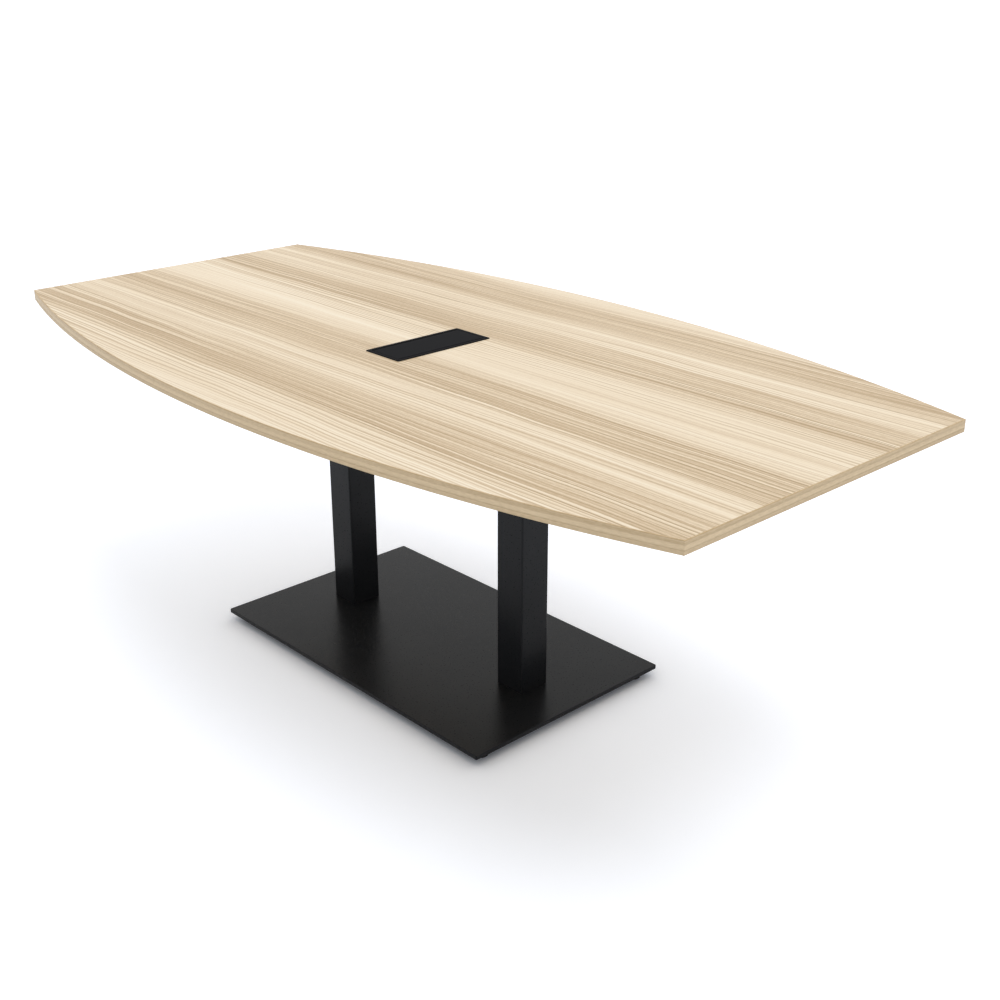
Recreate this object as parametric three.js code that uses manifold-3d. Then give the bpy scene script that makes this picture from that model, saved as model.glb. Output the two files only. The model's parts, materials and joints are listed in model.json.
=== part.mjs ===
// A boat-shaped conference table on a twin-column steel base, with a flip-lid power box let into its top.
// Millimetres, +Z up. The origin is on the floor under the middle of the top, and +X runs along the length.
import * as THREE from "three";
import { mergeVertices } from "three/addons/utils/BufferGeometryUtils.js";
import Module from "manifold-3d";

// Clearances
const FILM = 0.1; // glue, paint or weld between two faces that are pressed together
const FIT = 0.3; // gap round a piece that is let into another
const RUNNING_GAP = 0.3; // gap between faces that turn or slide on each other
const THROUGH = 1; // how far a cutting shape runs past the face it opens

// Flats that stand for round forms
const SIDE_ARC_STEPS = 24;
const CORNER_STEPS = 2;
const EASE_STEPS = 2;
const FASTENER_SIDES = 12;
const GLIDE_SIDES = 24;
const BARREL_SIDES = 24;

// Table top: a boat outline with straight ends and long sides that are arcs
const TABLE_HEIGHT = 749.3; // floor to top face
const TOP_LENGTH = 2134;
const TOP_END_WIDTH = 812;
const TOP_MIDDLE_WIDTH = 1143;
const TOP_THICKNESS = 25.4;
const LAMINATE_THICKNESS = 0.8;
const BACKER_THICKNESS = 0.8;
const EDGE_BAND_THICKNESS = 2;
const EDGE_BAND_EASE = 0.8; // rounding of the band's outer arrises

// Power box across the middle of the top, with its long side along Y; depths run down from the top face
const BEZEL_LENGTH = 264;
const BEZEL_WIDTH = 112;
const BEZEL_RISE = 2; // how far the rim stands above the top
const BEZEL_CORNER_RADIUS = 3;
const BEZEL_EASE = 0.5;
const RIM_WIDTH = 9; // rim that shows round the lid
const COLLAR_WALL = 2;
const COLLAR_DEPTH = 16;
const CUTOUT_CLEARANCE = 1; // collar to the sawn edge of the top
const LID_THICKNESS = 3;
const LID_HINGE_GAP = 1.2; // lets the open lid lean back past upright
const LID_FINGER_GAP = 2.5;
const LID_END_GAP = 0.8;
const LEDGE_WIDTH = 4.5; // ledge that the closed lid lies on
const FINGER_SCOOP = 40; // break in the ledge where a fingertip lifts the lid
const BARREL_RADIUS = 3.4;
const BARREL_CLEARANCE = 1;
const HINGE_PIN_RADIUS = 1.1;
const HINGE_PIN_LENGTH = 14;
const HOUSING_WALL = 2;
const HOUSING_DEPTH = 80;
const DECK_DEPTH = 38;
const DECK_THICKNESS = 2.5;
const RAIL_WIDTH = 3; // rails in the housing that carry the deck
const RAIL_HEIGHT = 4;

// Outlets in the deck: a face that lies on the deck and a body that drops through it
const FACE_THICKNESS = 1.5;
const FACE_OVERLAP = 3.5; // how far a face laps the deck beyond its body
const MAINS_FACE = { length: 38, width: 44 };
const MAINS_BODY_DEPTH = 24;
const BLADE_SPACING = 12.7;
const BLADE_SLOT_WIDTH = 2.2;
const NEUTRAL_SLOT_LENGTH = 8.4;
const LIVE_SLOT_LENGTH = 6.8;
const BLADE_OFFSET = 4; // blade slots off the middle of the face
const EARTH_OFFSET = 11.9; // earth hole from the line of the blades
const EARTH_RADIUS = 2.6;
const BLADE_DEPTH = 18;
const USB_FACE = { length: 24, width: 36 };
const USB_BODY_DEPTH = 20;
const USB_PORT = { length: 13, width: 5.8 };
const USB_PORT_SPACING = 12;
const USB_PORT_DEPTH = 11;
const DATA_FACE = { length: 22, width: 30 };
const DATA_BODY_DEPTH = 22;
const DATA_PORT = { length: 12, width: 9 };
const DATA_LATCH = { length: 6, width: 2.5 };
const DATA_PORT_DEPTH = 15;

// Mains inlet in the housing's long wall
const INLET_FACE = { length: 34, height: 26 };
const INLET_FACE_THICKNESS = 2;
const INLET_BODY = { length: 27, height: 19 };
const INLET_BODY_DEPTH = 21;
const INLET_SOCKET = { length: 23, height: 15 };
const INLET_SOCKET_DEPTH = 17;
const INLET_PIN = { length: 2, height: 4, reach: 10 };
const INLET_PIN_SPACING = 7;
const INLET_DROP = 18; // deck rails to the middle of the inlet

// Clamps that hold the box down on the top
const CLAMP_WIDTH = 30;
const CLAMP_THICKNESS = 2.5;
const CLAMP_REACH = 26;
const CLAMP_SCREW_DROP = 7; // deck rails to the screw
const CLAMP_SCREW_EDGE = 8; // screw to the bracket's lower end
const CLAMP_SCREW_RADIUS = 2;
const CLAMP_SCREW_LENGTH = 9;
const CLAMP_SCREW_HEAD_RADIUS = 4;
const CLAMP_SCREW_HEAD_HEIGHT = 2.4;

// Base plate
const BASE_LENGTH = 915;
const BASE_WIDTH = 560;
const BASE_THICKNESS = 9.5;
const BASE_CORNER_RADIUS = 3;
const BASE_EASE = 0.8;

// Columns with their foot plates and mounting plates
const COLUMN_SIDE = 79;
const COLUMN_WALL = 2.5;
const COLUMN_CORNER_RADIUS = 3.5;
const COLUMN_SPACING = 603;
const COLUMN_FOOT_THICKNESS = 10;
const COLUMN_BOLT_SPACING = 44;
const COLUMN_BOLT_RADIUS = 3.9;
const COLUMN_BOLT_SHORT = 1; // bolt tip below the upper face of the foot plate
const BOLT_HOLE_CLEARANCE = 0.6;
const BOLT_HEAD_FLATS = 13;
const BOLT_HEAD_HEIGHT = 5;
const BOLT_FLANGE_RADIUS = 8.5;
const BOLT_FLANGE_THICKNESS = 1.5;
const MOUNT_PLATE_SIDE = 300;
const MOUNT_PLATE_THICKNESS = 5;
const MOUNT_PLATE_CORNER_RADIUS = 14;
const TOP_SCREW_INSET = 24;
const TOP_SCREW_RADIUS = 2.4;
const TOP_SCREW_BITE = 17; // how far a screw goes into the top
const TOP_SCREW_TIP = 4;
const TOP_SCREW_TIP_RADIUS = 0.6;
const TOP_SCREW_HEAD_RADIUS = 4.8;
const TOP_SCREW_HEAD_HEIGHT = 3;

// Levelling glides under the corners of the base plate
const GLIDE_INSET_X = 34;
const GLIDE_INSET_Y = 42;
const PAD_RADIUS = 17;
const PAD_TOP_RADIUS = 12;
const PAD_RIM_HEIGHT = 3;
const PAD_HEIGHT = 8.4;
const PAD_FLOOR = 2.4;
const STUD_RADIUS = 3.9;
const STUD_NECK_RADIUS = 2.8;
const STUD_FOOT_RADIUS = 5.5;
const STUD_FOOT_HEIGHT = 2.2;
const STUD_COLLAR_FLATS = 13;
const STUD_COLLAR_HEIGHT = 3;
const STUD_BITE = 6; // thread inside the base plate when screwed home
const STUD_HOLE_SPARE = 0.6;
const NUT_FLATS = 15;
const NUT_HEIGHT = 6;

// Heights above the floor that follow from the sizes
const COLLAR_BOTTOM = PAD_HEIGHT + RUNNING_GAP;
const NUT_BOTTOM = COLLAR_BOTTOM + STUD_COLLAR_HEIGHT + RUNNING_GAP;
const BASE_BOTTOM = NUT_BOTTOM + NUT_HEIGHT + FILM;
const BASE_TOP = BASE_BOTTOM + BASE_THICKNESS;
const TOP_BOTTOM = TABLE_HEIGHT - TOP_THICKNESS;
const MOUNT_PLATE_TOP = TOP_BOTTOM - FILM;
const MOUNT_PLATE_BOTTOM = MOUNT_PLATE_TOP - MOUNT_PLATE_THICKNESS;

// Places in the power box, measured from the middle of the top face
const OPENING_X = BEZEL_WIDTH / 2 - RIM_WIDTH;
const OPENING_Y = BEZEL_LENGTH / 2 - RIM_WIDTH;
const COLLAR_X = OPENING_X + COLLAR_WALL;
const COLLAR_Y = OPENING_Y + COLLAR_WALL;
const CUTOUT_X = COLLAR_X + CUTOUT_CLEARANCE;
const CUTOUT_Y = COLLAR_Y + CUTOUT_CLEARANCE;
const HINGE_X = -OPENING_X + LID_HINGE_GAP + BARREL_RADIUS;
const HINGE_Z = BEZEL_RISE - BARREL_RADIUS;
const LID_BOTTOM = BEZEL_RISE - LID_THICKNESS;
const LEDGE_BOTTOM = HINGE_Z - BARREL_RADIUS - BARREL_CLEARANCE;
const HOUSING_X = OPENING_X - FIT;
const HOUSING_Y = OPENING_Y - FIT;
const INNER_X = HOUSING_X - HOUSING_WALL;
const INNER_Y = HOUSING_Y - HOUSING_WALL;
const RAIL_TOP = -DECK_DEPTH - DECK_THICKNESS - FILM;
const RAIL_BOTTOM = RAIL_TOP - RAIL_HEIGHT;
const INLET_Z = RAIL_BOTTOM - INLET_DROP;
const CLAMP_SCREW_Z = RAIL_BOTTOM - CLAMP_SCREW_DROP;

// Finishes
const laminate = new THREE.MeshStandardMaterial({ color: 0xe6d5b4, roughness: 0.5, metalness: 0 });
const edgeBand = new THREE.MeshStandardMaterial({ color: 0xcbb691, roughness: 0.5, metalness: 0 });
const chipboard = new THREE.MeshStandardMaterial({ color: 0xb99a6b, roughness: 0.9, metalness: 0 });
const blackSteel = new THREE.MeshStandardMaterial({ color: 0x262626, roughness: 0.5, metalness: 0 });
const zincSteel = new THREE.MeshStandardMaterial({ color: 0xb4b6b8, roughness: 0.35, metalness: 1 });
const blackPlastic = new THREE.MeshStandardMaterial({ color: 0x242425, roughness: 0.55, metalness: 0 });
const greyPlastic = new THREE.MeshStandardMaterial({ color: 0x3a3b3d, roughness: 0.5, metalness: 0 });
const padPlastic = new THREE.MeshStandardMaterial({ color: 0x1b1b1b, roughness: 0.7, metalness: 0 });

const wasm = await Module();
wasm.setup();

// A closed three.js geometry as a solid that can be joined and cut.
function solidOf(geometry) {
  const bare = new THREE.BufferGeometry();
  bare.setAttribute("position", geometry.getAttribute("position"));
  bare.setIndex(geometry.index);
  const merged = mergeVertices(bare);
  const vertProperties = merged.getAttribute("position").array;
  const triVerts = new Uint32Array(merged.index.array);
  return new wasm.Manifold(new wasm.Mesh({ numProp: 3, vertProperties, triVerts }));
}

// A named mesh of a solid, in a group.
function addPiece(group, name, solid, material) {
  const made = solid.getMesh();
  const geometry = new THREE.BufferGeometry();
  geometry.setAttribute("position", new THREE.BufferAttribute(made.vertProperties, 3));
  geometry.setIndex(new THREE.BufferAttribute(made.triVerts, 1));
  geometry.computeVertexNormals();
  const piece = new THREE.Mesh(geometry, material);
  piece.name = name;
  group.add(piece);
}

// A box between any two opposite corners.
function block(corner, opposite) {
  const box = new THREE.Box3().setFromPoints([new THREE.Vector3(...corner), new THREE.Vector3(...opposite)]);
  const size = box.getSize(new THREE.Vector3());
  const middle = box.getCenter(new THREE.Vector3());
  const geometry = new THREE.BoxGeometry(size.x, size.y, size.z);
  return solidOf(geometry.translate(middle.x, middle.y, middle.z));
}

// An upright prism of a flat outline.
function prism(outline, bottom, top, curveSegments = CORNER_STEPS) {
  const geometry = new THREE.ExtrudeGeometry(outline, {
    depth: top - bottom,
    bevelEnabled: false,
    curveSegments,
  });
  return solidOf(geometry.translate(0, 0, bottom));
}

// An upright prism with rounded arrises; outlineAt gives its outline drawn in by a distance.
function easedPrism(outlineAt, bottom, top, ease, curveSegments = CORNER_STEPS) {
  const geometry = new THREE.ExtrudeGeometry(outlineAt(ease), {
    depth: top - bottom - 2 * ease,
    bevelSize: ease,
    bevelThickness: ease,
    bevelSegments: EASE_STEPS,
    curveSegments,
  });
  return solidOf(geometry.translate(0, 0, bottom + ease));
}

// A round or many-sided rod along Z, with a vertex at its radius.
function rod(radius, bottom, top, x = 0, y = 0, sides = FASTENER_SIDES, topRadius = radius) {
  const geometry = new THREE.CylinderGeometry(topRadius, radius, top - bottom, sides);
  return solidOf(geometry.rotateX(Math.PI / 2).translate(x, y, (bottom + top) / 2));
}

// A rod along Y between two ends given in either order.
function rodAlongY(radius, end, otherEnd, x, z, sides = FASTENER_SIDES) {
  const geometry = new THREE.CylinderGeometry(radius, radius, Math.abs(otherEnd - end), sides);
  return solidOf(geometry.translate(x, (end + otherEnd) / 2, z));
}

// The radius of a many-sided hole whose flats stand at a radius.
function around(radius, sides = FASTENER_SIDES) {
  return radius / Math.cos(Math.PI / sides);
}

// A hexagonal rod along Z by its width across flats.
function hexagon(flats, bottom, top, x = 0, y = 0) {
  const sides = 6;
  return rod(around(flats / 2, sides), bottom, top, x, y, sides);
}

// A solid of revolution about Z from a closed list of [radius, height] points.
function turned(profile, sides) {
  const points = profile.map(([radius, height]) => new THREE.Vector2(radius, height));
  return solidOf(new THREE.LatheGeometry(points, sides).rotateX(Math.PI / 2));
}

function joined(...solids) {
  return solids.reduce((whole, solid) => whole.add(solid));
}

function cutBy(solid, tools) {
  return tools.reduce((left, tool) => left.subtract(tool), solid);
}

// A rectangle with round corners about the origin.
function roundedRectangle(alongX, alongY, radius) {
  const x = alongX / 2 - radius;
  const y = alongY / 2 - radius;
  const quarter = Math.PI / 2;
  const shape = new THREE.Shape();
  shape.absarc(x, -y, radius, -quarter, 0, false);
  shape.absarc(x, y, radius, 0, quarter, false);
  shape.absarc(-x, y, radius, quarter, 2 * quarter, false);
  shape.absarc(-x, -y, radius, 2 * quarter, 3 * quarter, false);
  return shape;
}

// The outline of the top, drawn in by a distance: each long side is an arc through the end corners.
function boatOutline(inset) {
  const rise = (TOP_MIDDLE_WIDTH - TOP_END_WIDTH) / 2;
  const halfLength = TOP_LENGTH / 2;
  const sideRadius = (halfLength ** 2 + rise ** 2) / (2 * rise);
  const centre = sideRadius - TOP_MIDDLE_WIDTH / 2;
  const radius = sideRadius - inset;
  const swing = Math.asin((halfLength - inset) / radius);
  const quarter = Math.PI / 2;
  const shape = new THREE.Shape();
  shape.absarc(0, centre, radius, -quarter - swing, -quarter + swing, false);
  shape.absarc(0, -centre, radius, quarter - swing, quarter + swing, false);
  return shape;
}

// The four corners of a rectangle about the origin, counted round from the front left.
function corners(alongX, alongY) {
  const x = alongX / 2;
  const y = alongY / 2;
  return [[-x, -y], [x, -y], [x, y], [-x, y]];
}

const COLUMNS = [["left", -1], ["right", 1]];
const BOX_ENDS = [["front", -1], ["rear", 1]];

// Places of the bolts and screws about the axis of a column.
function columnBoltPlaces() {
  return corners(COLUMN_BOLT_SPACING, COLUMN_BOLT_SPACING);
}

function topScrewPlaces() {
  const spacing = MOUNT_PLATE_SIDE - 2 * TOP_SCREW_INSET;
  return corners(spacing, spacing);
}

function glidePlaces() {
  return corners(BASE_LENGTH - 2 * GLIDE_INSET_X, BASE_WIDTH - 2 * GLIDE_INSET_Y);
}

// A solid at each of the places about both columns.
function underColumns(places, make) {
  return COLUMNS.flatMap(([, side]) => places.map(([x, y]) => make(x + side * COLUMN_SPACING / 2, y)));
}

// Top: core, decor sheet, backer and edge bands; its group stands at the top face
function addTop(table) {
  const top = new THREE.Group();
  top.position.z = TABLE_HEIGHT;
  const boardInset = EDGE_BAND_THICKNESS + FIT;
  const laminateBottom = -LAMINATE_THICKNESS;
  const backerTop = BACKER_THICKNESS - TOP_THICKNESS;
  const cutout = block([-CUTOUT_X, -CUTOUT_Y, -TOP_THICKNESS - THROUGH], [CUTOUT_X, CUTOUT_Y, THROUGH]);
  const board = (bottom, upper) =>
    prism(boatOutline(boardInset), bottom, upper, SIDE_ARC_STEPS).subtract(cutout);
  const pilotTop = TOP_SCREW_BITE + FIT - TOP_THICKNESS;
  const pilots = underColumns(topScrewPlaces(), (x, y) =>
    rod(around(TOP_SCREW_RADIUS + FIT), -TOP_THICKNESS - THROUGH, pilotTop, x, y));

  addPiece(top, "top_laminate", board(laminateBottom, 0), laminate);
  addPiece(top, "top_core", cutBy(board(backerTop + FILM, laminateBottom - FILM), pilots), chipboard);
  addPiece(top, "underside_backer", cutBy(board(-TOP_THICKNESS, backerTop), pilots), laminate);

  const outside = easedPrism(boatOutline, -TOP_THICKNESS, 0, EDGE_BAND_EASE, SIDE_ARC_STEPS);
  const inside = prism(boatOutline(EDGE_BAND_THICKNESS), -TOP_THICKNESS - THROUGH, THROUGH, SIDE_ARC_STEPS);
  const ring = outside.subtract(inside);
  const bandX = TOP_LENGTH / 2 - EDGE_BAND_THICKNESS;
  const sideX = bandX - FIT;
  const farX = TOP_LENGTH / 2 + THROUGH;
  const farY = TOP_MIDDLE_WIDTH / 2 + THROUGH;
  const low = -TOP_THICKNESS - THROUGH;
  const bands = {
    edge_band_left_end: block([-farX, -farY, low], [-bandX, farY, THROUGH]),
    edge_band_right_end: block([bandX, -farY, low], [farX, farY, THROUGH]),
    edge_band_front_side: block([-sideX, -farY, low], [sideX, 0, THROUGH]),
    edge_band_rear_side: block([-sideX, 0, low], [sideX, farY, THROUGH]),
  };
  for (const [name, span] of Object.entries(bands)) addPiece(top, name, ring.intersect(span), edgeBand);
  table.add(top);
}

// Bezel: a rim on the top face, a collar in the cut-out and a ledge that the lid lies on
function makeBezel() {
  const outline = (inset) =>
    roundedRectangle(BEZEL_WIDTH - 2 * inset, BEZEL_LENGTH - 2 * inset, BEZEL_CORNER_RADIUS - inset);
  const rim = easedPrism(outline, FILM, BEZEL_RISE, BEZEL_EASE);
  const collar = block([-COLLAR_X, -COLLAR_Y, -COLLAR_DEPTH], [COLLAR_X, COLLAR_Y, BEZEL_RISE - BEZEL_EASE]);
  const opening = block(
    [-OPENING_X, -OPENING_Y, -COLLAR_DEPTH - THROUGH],
    [OPENING_X, OPENING_Y, BEZEL_RISE + THROUGH],
  );
  const shell = joined(rim, collar).subtract(opening);

  const ledgeTop = LID_BOTTOM - RUNNING_GAP;
  const ledgeStart = HINGE_X + BARREL_RADIUS + BARREL_CLEARANCE;
  const mid = COLLAR_WALL / 2; // the ledge grows out of the middle of the collar wall
  const ledge = block(
    [ledgeStart, -OPENING_Y - mid, LEDGE_BOTTOM],
    [OPENING_X + mid, OPENING_Y + mid, ledgeTop],
  );
  const well = block(
    [ledgeStart - THROUGH, LEDGE_WIDTH - OPENING_Y, LEDGE_BOTTOM - THROUGH],
    [OPENING_X - LEDGE_WIDTH, OPENING_Y - LEDGE_WIDTH, ledgeTop + THROUGH],
  );
  const scoop = block(
    [0, -FINGER_SCOOP / 2, LEDGE_BOTTOM - THROUGH],
    [OPENING_X, FINGER_SCOOP / 2, ledgeTop + THROUGH],
  );
  const pinHole = around(HINGE_PIN_RADIUS + FILM);
  const pinHoles = BOX_ENDS.map(([, end]) =>
    rodAlongY(pinHole, end * (OPENING_Y - THROUGH), end * (COLLAR_Y + THROUGH), HINGE_X, HINGE_Z));
  return cutBy(joined(shell, cutBy(ledge, [well, scoop])), pinHoles);
}

// Lid: a flat plate whose hinge edge is a barrel about the pins
function makeLid() {
  const half = OPENING_Y - LID_END_GAP;
  const plate = block([HINGE_X, -half, LID_BOTTOM], [OPENING_X - LID_FINGER_GAP, half, BEZEL_RISE]);
  const barrel = rodAlongY(BARREL_RADIUS, -half, half, HINGE_X, HINGE_Z, BARREL_SIDES);
  const boreEnd = COLLAR_Y - HINGE_PIN_LENGTH - RUNNING_GAP;
  const bores = BOX_ENDS.map(([, end]) => {
    const radius = around(HINGE_PIN_RADIUS + RUNNING_GAP);
    return rodAlongY(radius, end * boreEnd, end * (half + THROUGH), HINGE_X, HINGE_Z);
  });
  return cutBy(joined(plate, barrel), bores);
}

// Hinge pin: pressed into the end wall of the collar, with the lid's barrel turning on it
function makeHingePin(end) {
  return rodAlongY(HINGE_PIN_RADIUS, end * (COLLAR_Y - HINGE_PIN_LENGTH), end * COLLAR_Y, HINGE_X, HINGE_Z);
}

// Housing: a tub under the bezel with rails for the deck, a hole for the inlet and holes for the clamp screws
function makeHousing() {
  const floor = HOUSING_WALL - HOUSING_DEPTH;
  const top = LEDGE_BOTTOM - FILM;
  const railX = INNER_X - RAIL_WIDTH;
  const railY = INNER_Y - RAIL_WIDTH;
  const inletY = INLET_BODY.length / 2 + FIT;
  const inletZ = INLET_BODY.height / 2 + FIT;
  return cutBy(block([-HOUSING_X, -HOUSING_Y, -HOUSING_DEPTH], [HOUSING_X, HOUSING_Y, top]), [
    block([-INNER_X, -INNER_Y, RAIL_TOP], [INNER_X, INNER_Y, top + THROUGH]),
    block([-railX, -railY, floor], [railX, railY, RAIL_TOP + THROUGH]),
    block([-INNER_X, -INNER_Y, floor], [INNER_X, INNER_Y, RAIL_BOTTOM]),
    block([-HOUSING_X - THROUGH, -inletY, INLET_Z - inletZ], [THROUGH - INNER_X, inletY, INLET_Z + inletZ]),
    rodAlongY(around(CLAMP_SCREW_RADIUS + FIT), -HOUSING_Y - THROUGH, HOUSING_Y + THROUGH, 0, CLAMP_SCREW_Z),
  ]);
}

// An outlet: its face lies on the deck and its body drops through; the ports are cut from above
function makeOutlet(face, bodyDepth, ports) {
  const x = face.width / 2;
  const y = face.length / 2;
  const faceTop = FACE_THICKNESS + FILM;
  const plate = block([-x, -y, FILM], [x, y, faceTop]);
  const body = block(
    [FACE_OVERLAP - x, FACE_OVERLAP - y, -bodyDepth],
    [x - FACE_OVERLAP, y - FACE_OVERLAP, faceTop - FACE_THICKNESS / 2],
  );
  return cutBy(joined(plate, body), ports);
}

// A rectangular port in an outlet, cut down from the face.
function port(size, depth, x, y) {
  return block(
    [x - size.width / 2, y - size.length / 2, FACE_THICKNESS - depth],
    [x + size.width / 2, y + size.length / 2, FACE_THICKNESS + THROUGH],
  );
}

function makeMainsOutlet() {
  const slot = (width) => ({ length: BLADE_SLOT_WIDTH, width });
  return makeOutlet(MAINS_FACE, MAINS_BODY_DEPTH, [
    port(slot(NEUTRAL_SLOT_LENGTH), BLADE_DEPTH, BLADE_OFFSET, -BLADE_SPACING / 2),
    port(slot(LIVE_SLOT_LENGTH), BLADE_DEPTH, BLADE_OFFSET, BLADE_SPACING / 2),
    rod(EARTH_RADIUS, FACE_THICKNESS - BLADE_DEPTH, FACE_THICKNESS + THROUGH, BLADE_OFFSET - EARTH_OFFSET, 0),
  ]);
}

function makeUsbCharger() {
  const ports = [-1, 1].map((side) => port(USB_PORT, USB_PORT_DEPTH, side * USB_PORT_SPACING / 2, 0));
  return makeOutlet(USB_FACE, USB_BODY_DEPTH, ports);
}

function makeDataJack() {
  const latchX = (DATA_PORT.width + DATA_LATCH.width) / 2;
  const latch = { length: DATA_LATCH.length, width: DATA_LATCH.width + THROUGH };
  return makeOutlet(DATA_FACE, DATA_BODY_DEPTH, [
    port(DATA_PORT, DATA_PORT_DEPTH, 0, 0),
    port(latch, DATA_PORT_DEPTH, latchX - THROUGH / 2, 0),
  ]);
}

// Inlet: a face outside the housing wall, a body inside, and a socket with three contact pins
function makeInlet() {
  const wall = -HOUSING_X;
  const slab = (outer, inner, size) => block(
    [outer, -size.length / 2, INLET_Z - size.height / 2],
    [inner, size.length / 2, INLET_Z + size.height / 2],
  );
  const front = wall - FILM - INLET_FACE_THICKNESS;
  const bottom = front + INLET_SOCKET_DEPTH;
  const face = slab(front, wall - FILM, INLET_FACE);
  const body = slab(front + INLET_FACE_THICKNESS / 2, front + INLET_BODY_DEPTH, INLET_BODY);
  const socket = slab(front - THROUGH, bottom, INLET_SOCKET);
  const pins = [-1, 0, 1].map((place) => {
    const y = place * INLET_PIN_SPACING;
    return block(
      [bottom - INLET_PIN.reach, y - INLET_PIN.length / 2, INLET_Z - INLET_PIN.height / 2],
      [bottom + THROUGH, y + INLET_PIN.length / 2, INLET_Z + INLET_PIN.height / 2],
    );
  });
  return joined(joined(face, body).subtract(socket), ...pins);
}

// A clamp: an angle under the top that is screwed to one end wall of the housing
function makeClamp(end) {
  const wall = HOUSING_Y + FILM;
  const outer = wall + CLAMP_THICKNESS;
  const upper = -TOP_THICKNESS - FILM;
  const half = CLAMP_WIDTH / 2;
  const leg = block([-half, end * wall, CLAMP_SCREW_Z - CLAMP_SCREW_EDGE], [half, end * outer, upper]);
  const foot = block([-half, end * wall, upper - CLAMP_THICKNESS], [half, end * (wall + CLAMP_REACH), upper]);
  const holeRadius = around(CLAMP_SCREW_RADIUS + FIT);
  const hole = rodAlongY(holeRadius, end * (wall - THROUGH), end * (outer + THROUGH), 0, CLAMP_SCREW_Z);
  return joined(leg, foot).subtract(hole);
}

function makeClampScrew(end) {
  const seat = HOUSING_Y + FILM + CLAMP_THICKNESS + FILM;
  const headTop = seat + CLAMP_SCREW_HEAD_HEIGHT;
  const tip = seat - CLAMP_SCREW_LENGTH;
  const head = rodAlongY(CLAMP_SCREW_HEAD_RADIUS, end * seat, end * headTop, 0, CLAMP_SCREW_Z);
  const shank = rodAlongY(CLAMP_SCREW_RADIUS, end * tip, end * (seat + headTop) / 2, 0, CLAMP_SCREW_Z);
  return joined(head, shank);
}

// Power box: its group stands at the middle of the top face, and the outlets share the deck's length evenly
function addPowerBox(table) {
  const box = new THREE.Group();
  box.position.z = TABLE_HEIGHT;
  addPiece(box, "power_bezel", makeBezel(), blackPlastic);
  addPiece(box, "power_lid", makeLid(), blackPlastic);
  addPiece(box, "power_housing", makeHousing(), blackPlastic);
  addPiece(box, "power_inlet", makeInlet(), greyPlastic);

  for (const [label, end] of BOX_ENDS) {
    addPiece(box, `lid_pin_${label}`, makeHingePin(end), zincSteel);
    addPiece(box, `clamp_bracket_${label}`, makeClamp(end), zincSteel);
    addPiece(box, `clamp_screw_${label}`, makeClampScrew(end), zincSteel);
  }

  const outlets = [
    ["mains_outlet_1", MAINS_FACE, makeMainsOutlet()],
    ["mains_outlet_2", MAINS_FACE, makeMainsOutlet()],
    ["usb_charger", USB_FACE, makeUsbCharger()],
    ["data_jack_1", DATA_FACE, makeDataJack()],
    ["data_jack_2", DATA_FACE, makeDataJack()],
  ];
  const deckX = INNER_X - FIT;
  const deckY = INNER_Y - FIT;
  const taken = outlets.reduce((sum, [, face]) => sum + face.length, 0);
  const space = (2 * deckY - taken) / (outlets.length + 1);
  const holes = [];
  let y = -deckY;
  for (const [name, face, solid] of outlets) {
    y += space + face.length / 2;
    const row = new THREE.Group();
    row.position.set(0, y, -DECK_DEPTH);
    addPiece(row, name, solid, greyPlastic);
    box.add(row);
    const holeX = face.width / 2 - FACE_OVERLAP + FIT;
    const holeY = face.length / 2 - FACE_OVERLAP + FIT;
    const holeBottom = -DECK_DEPTH - DECK_THICKNESS - THROUGH;
    holes.push(block([-holeX, y - holeY, holeBottom], [holeX, y + holeY, THROUGH - DECK_DEPTH]));
    y += face.length / 2;
  }
  const deck = block([-deckX, -deckY, -DECK_DEPTH - DECK_THICKNESS], [deckX, deckY, -DECK_DEPTH]);
  addPiece(box, "outlet_deck", cutBy(deck, holes), blackPlastic);
  table.add(box);
}

// Base plate with holes for the column bolts and blind holes for the glides
function addBasePlate(table) {
  const outline = (inset) =>
    roundedRectangle(BASE_LENGTH - 2 * inset, BASE_WIDTH - 2 * inset, BASE_CORNER_RADIUS - inset);
  const low = BASE_BOTTOM - THROUGH;
  const boltHoleRadius = around(COLUMN_BOLT_RADIUS + BOLT_HOLE_CLEARANCE);
  const boltHoles = underColumns(columnBoltPlaces(), (x, y) =>
    rod(boltHoleRadius, low, BASE_TOP + THROUGH, x, y));
  const studHoleTop = BASE_BOTTOM + STUD_BITE + STUD_HOLE_SPARE;
  const studHoleRadius = around(STUD_RADIUS + RUNNING_GAP);
  const studHoles = glidePlaces().map(([x, y]) => rod(studHoleRadius, low, studHoleTop, x, y));
  const plate = easedPrism(outline, BASE_BOTTOM, BASE_TOP, BASE_EASE);
  addPiece(table, "base_plate", cutBy(plate, [...boltHoles, ...studHoles]), blackSteel);
}

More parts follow.
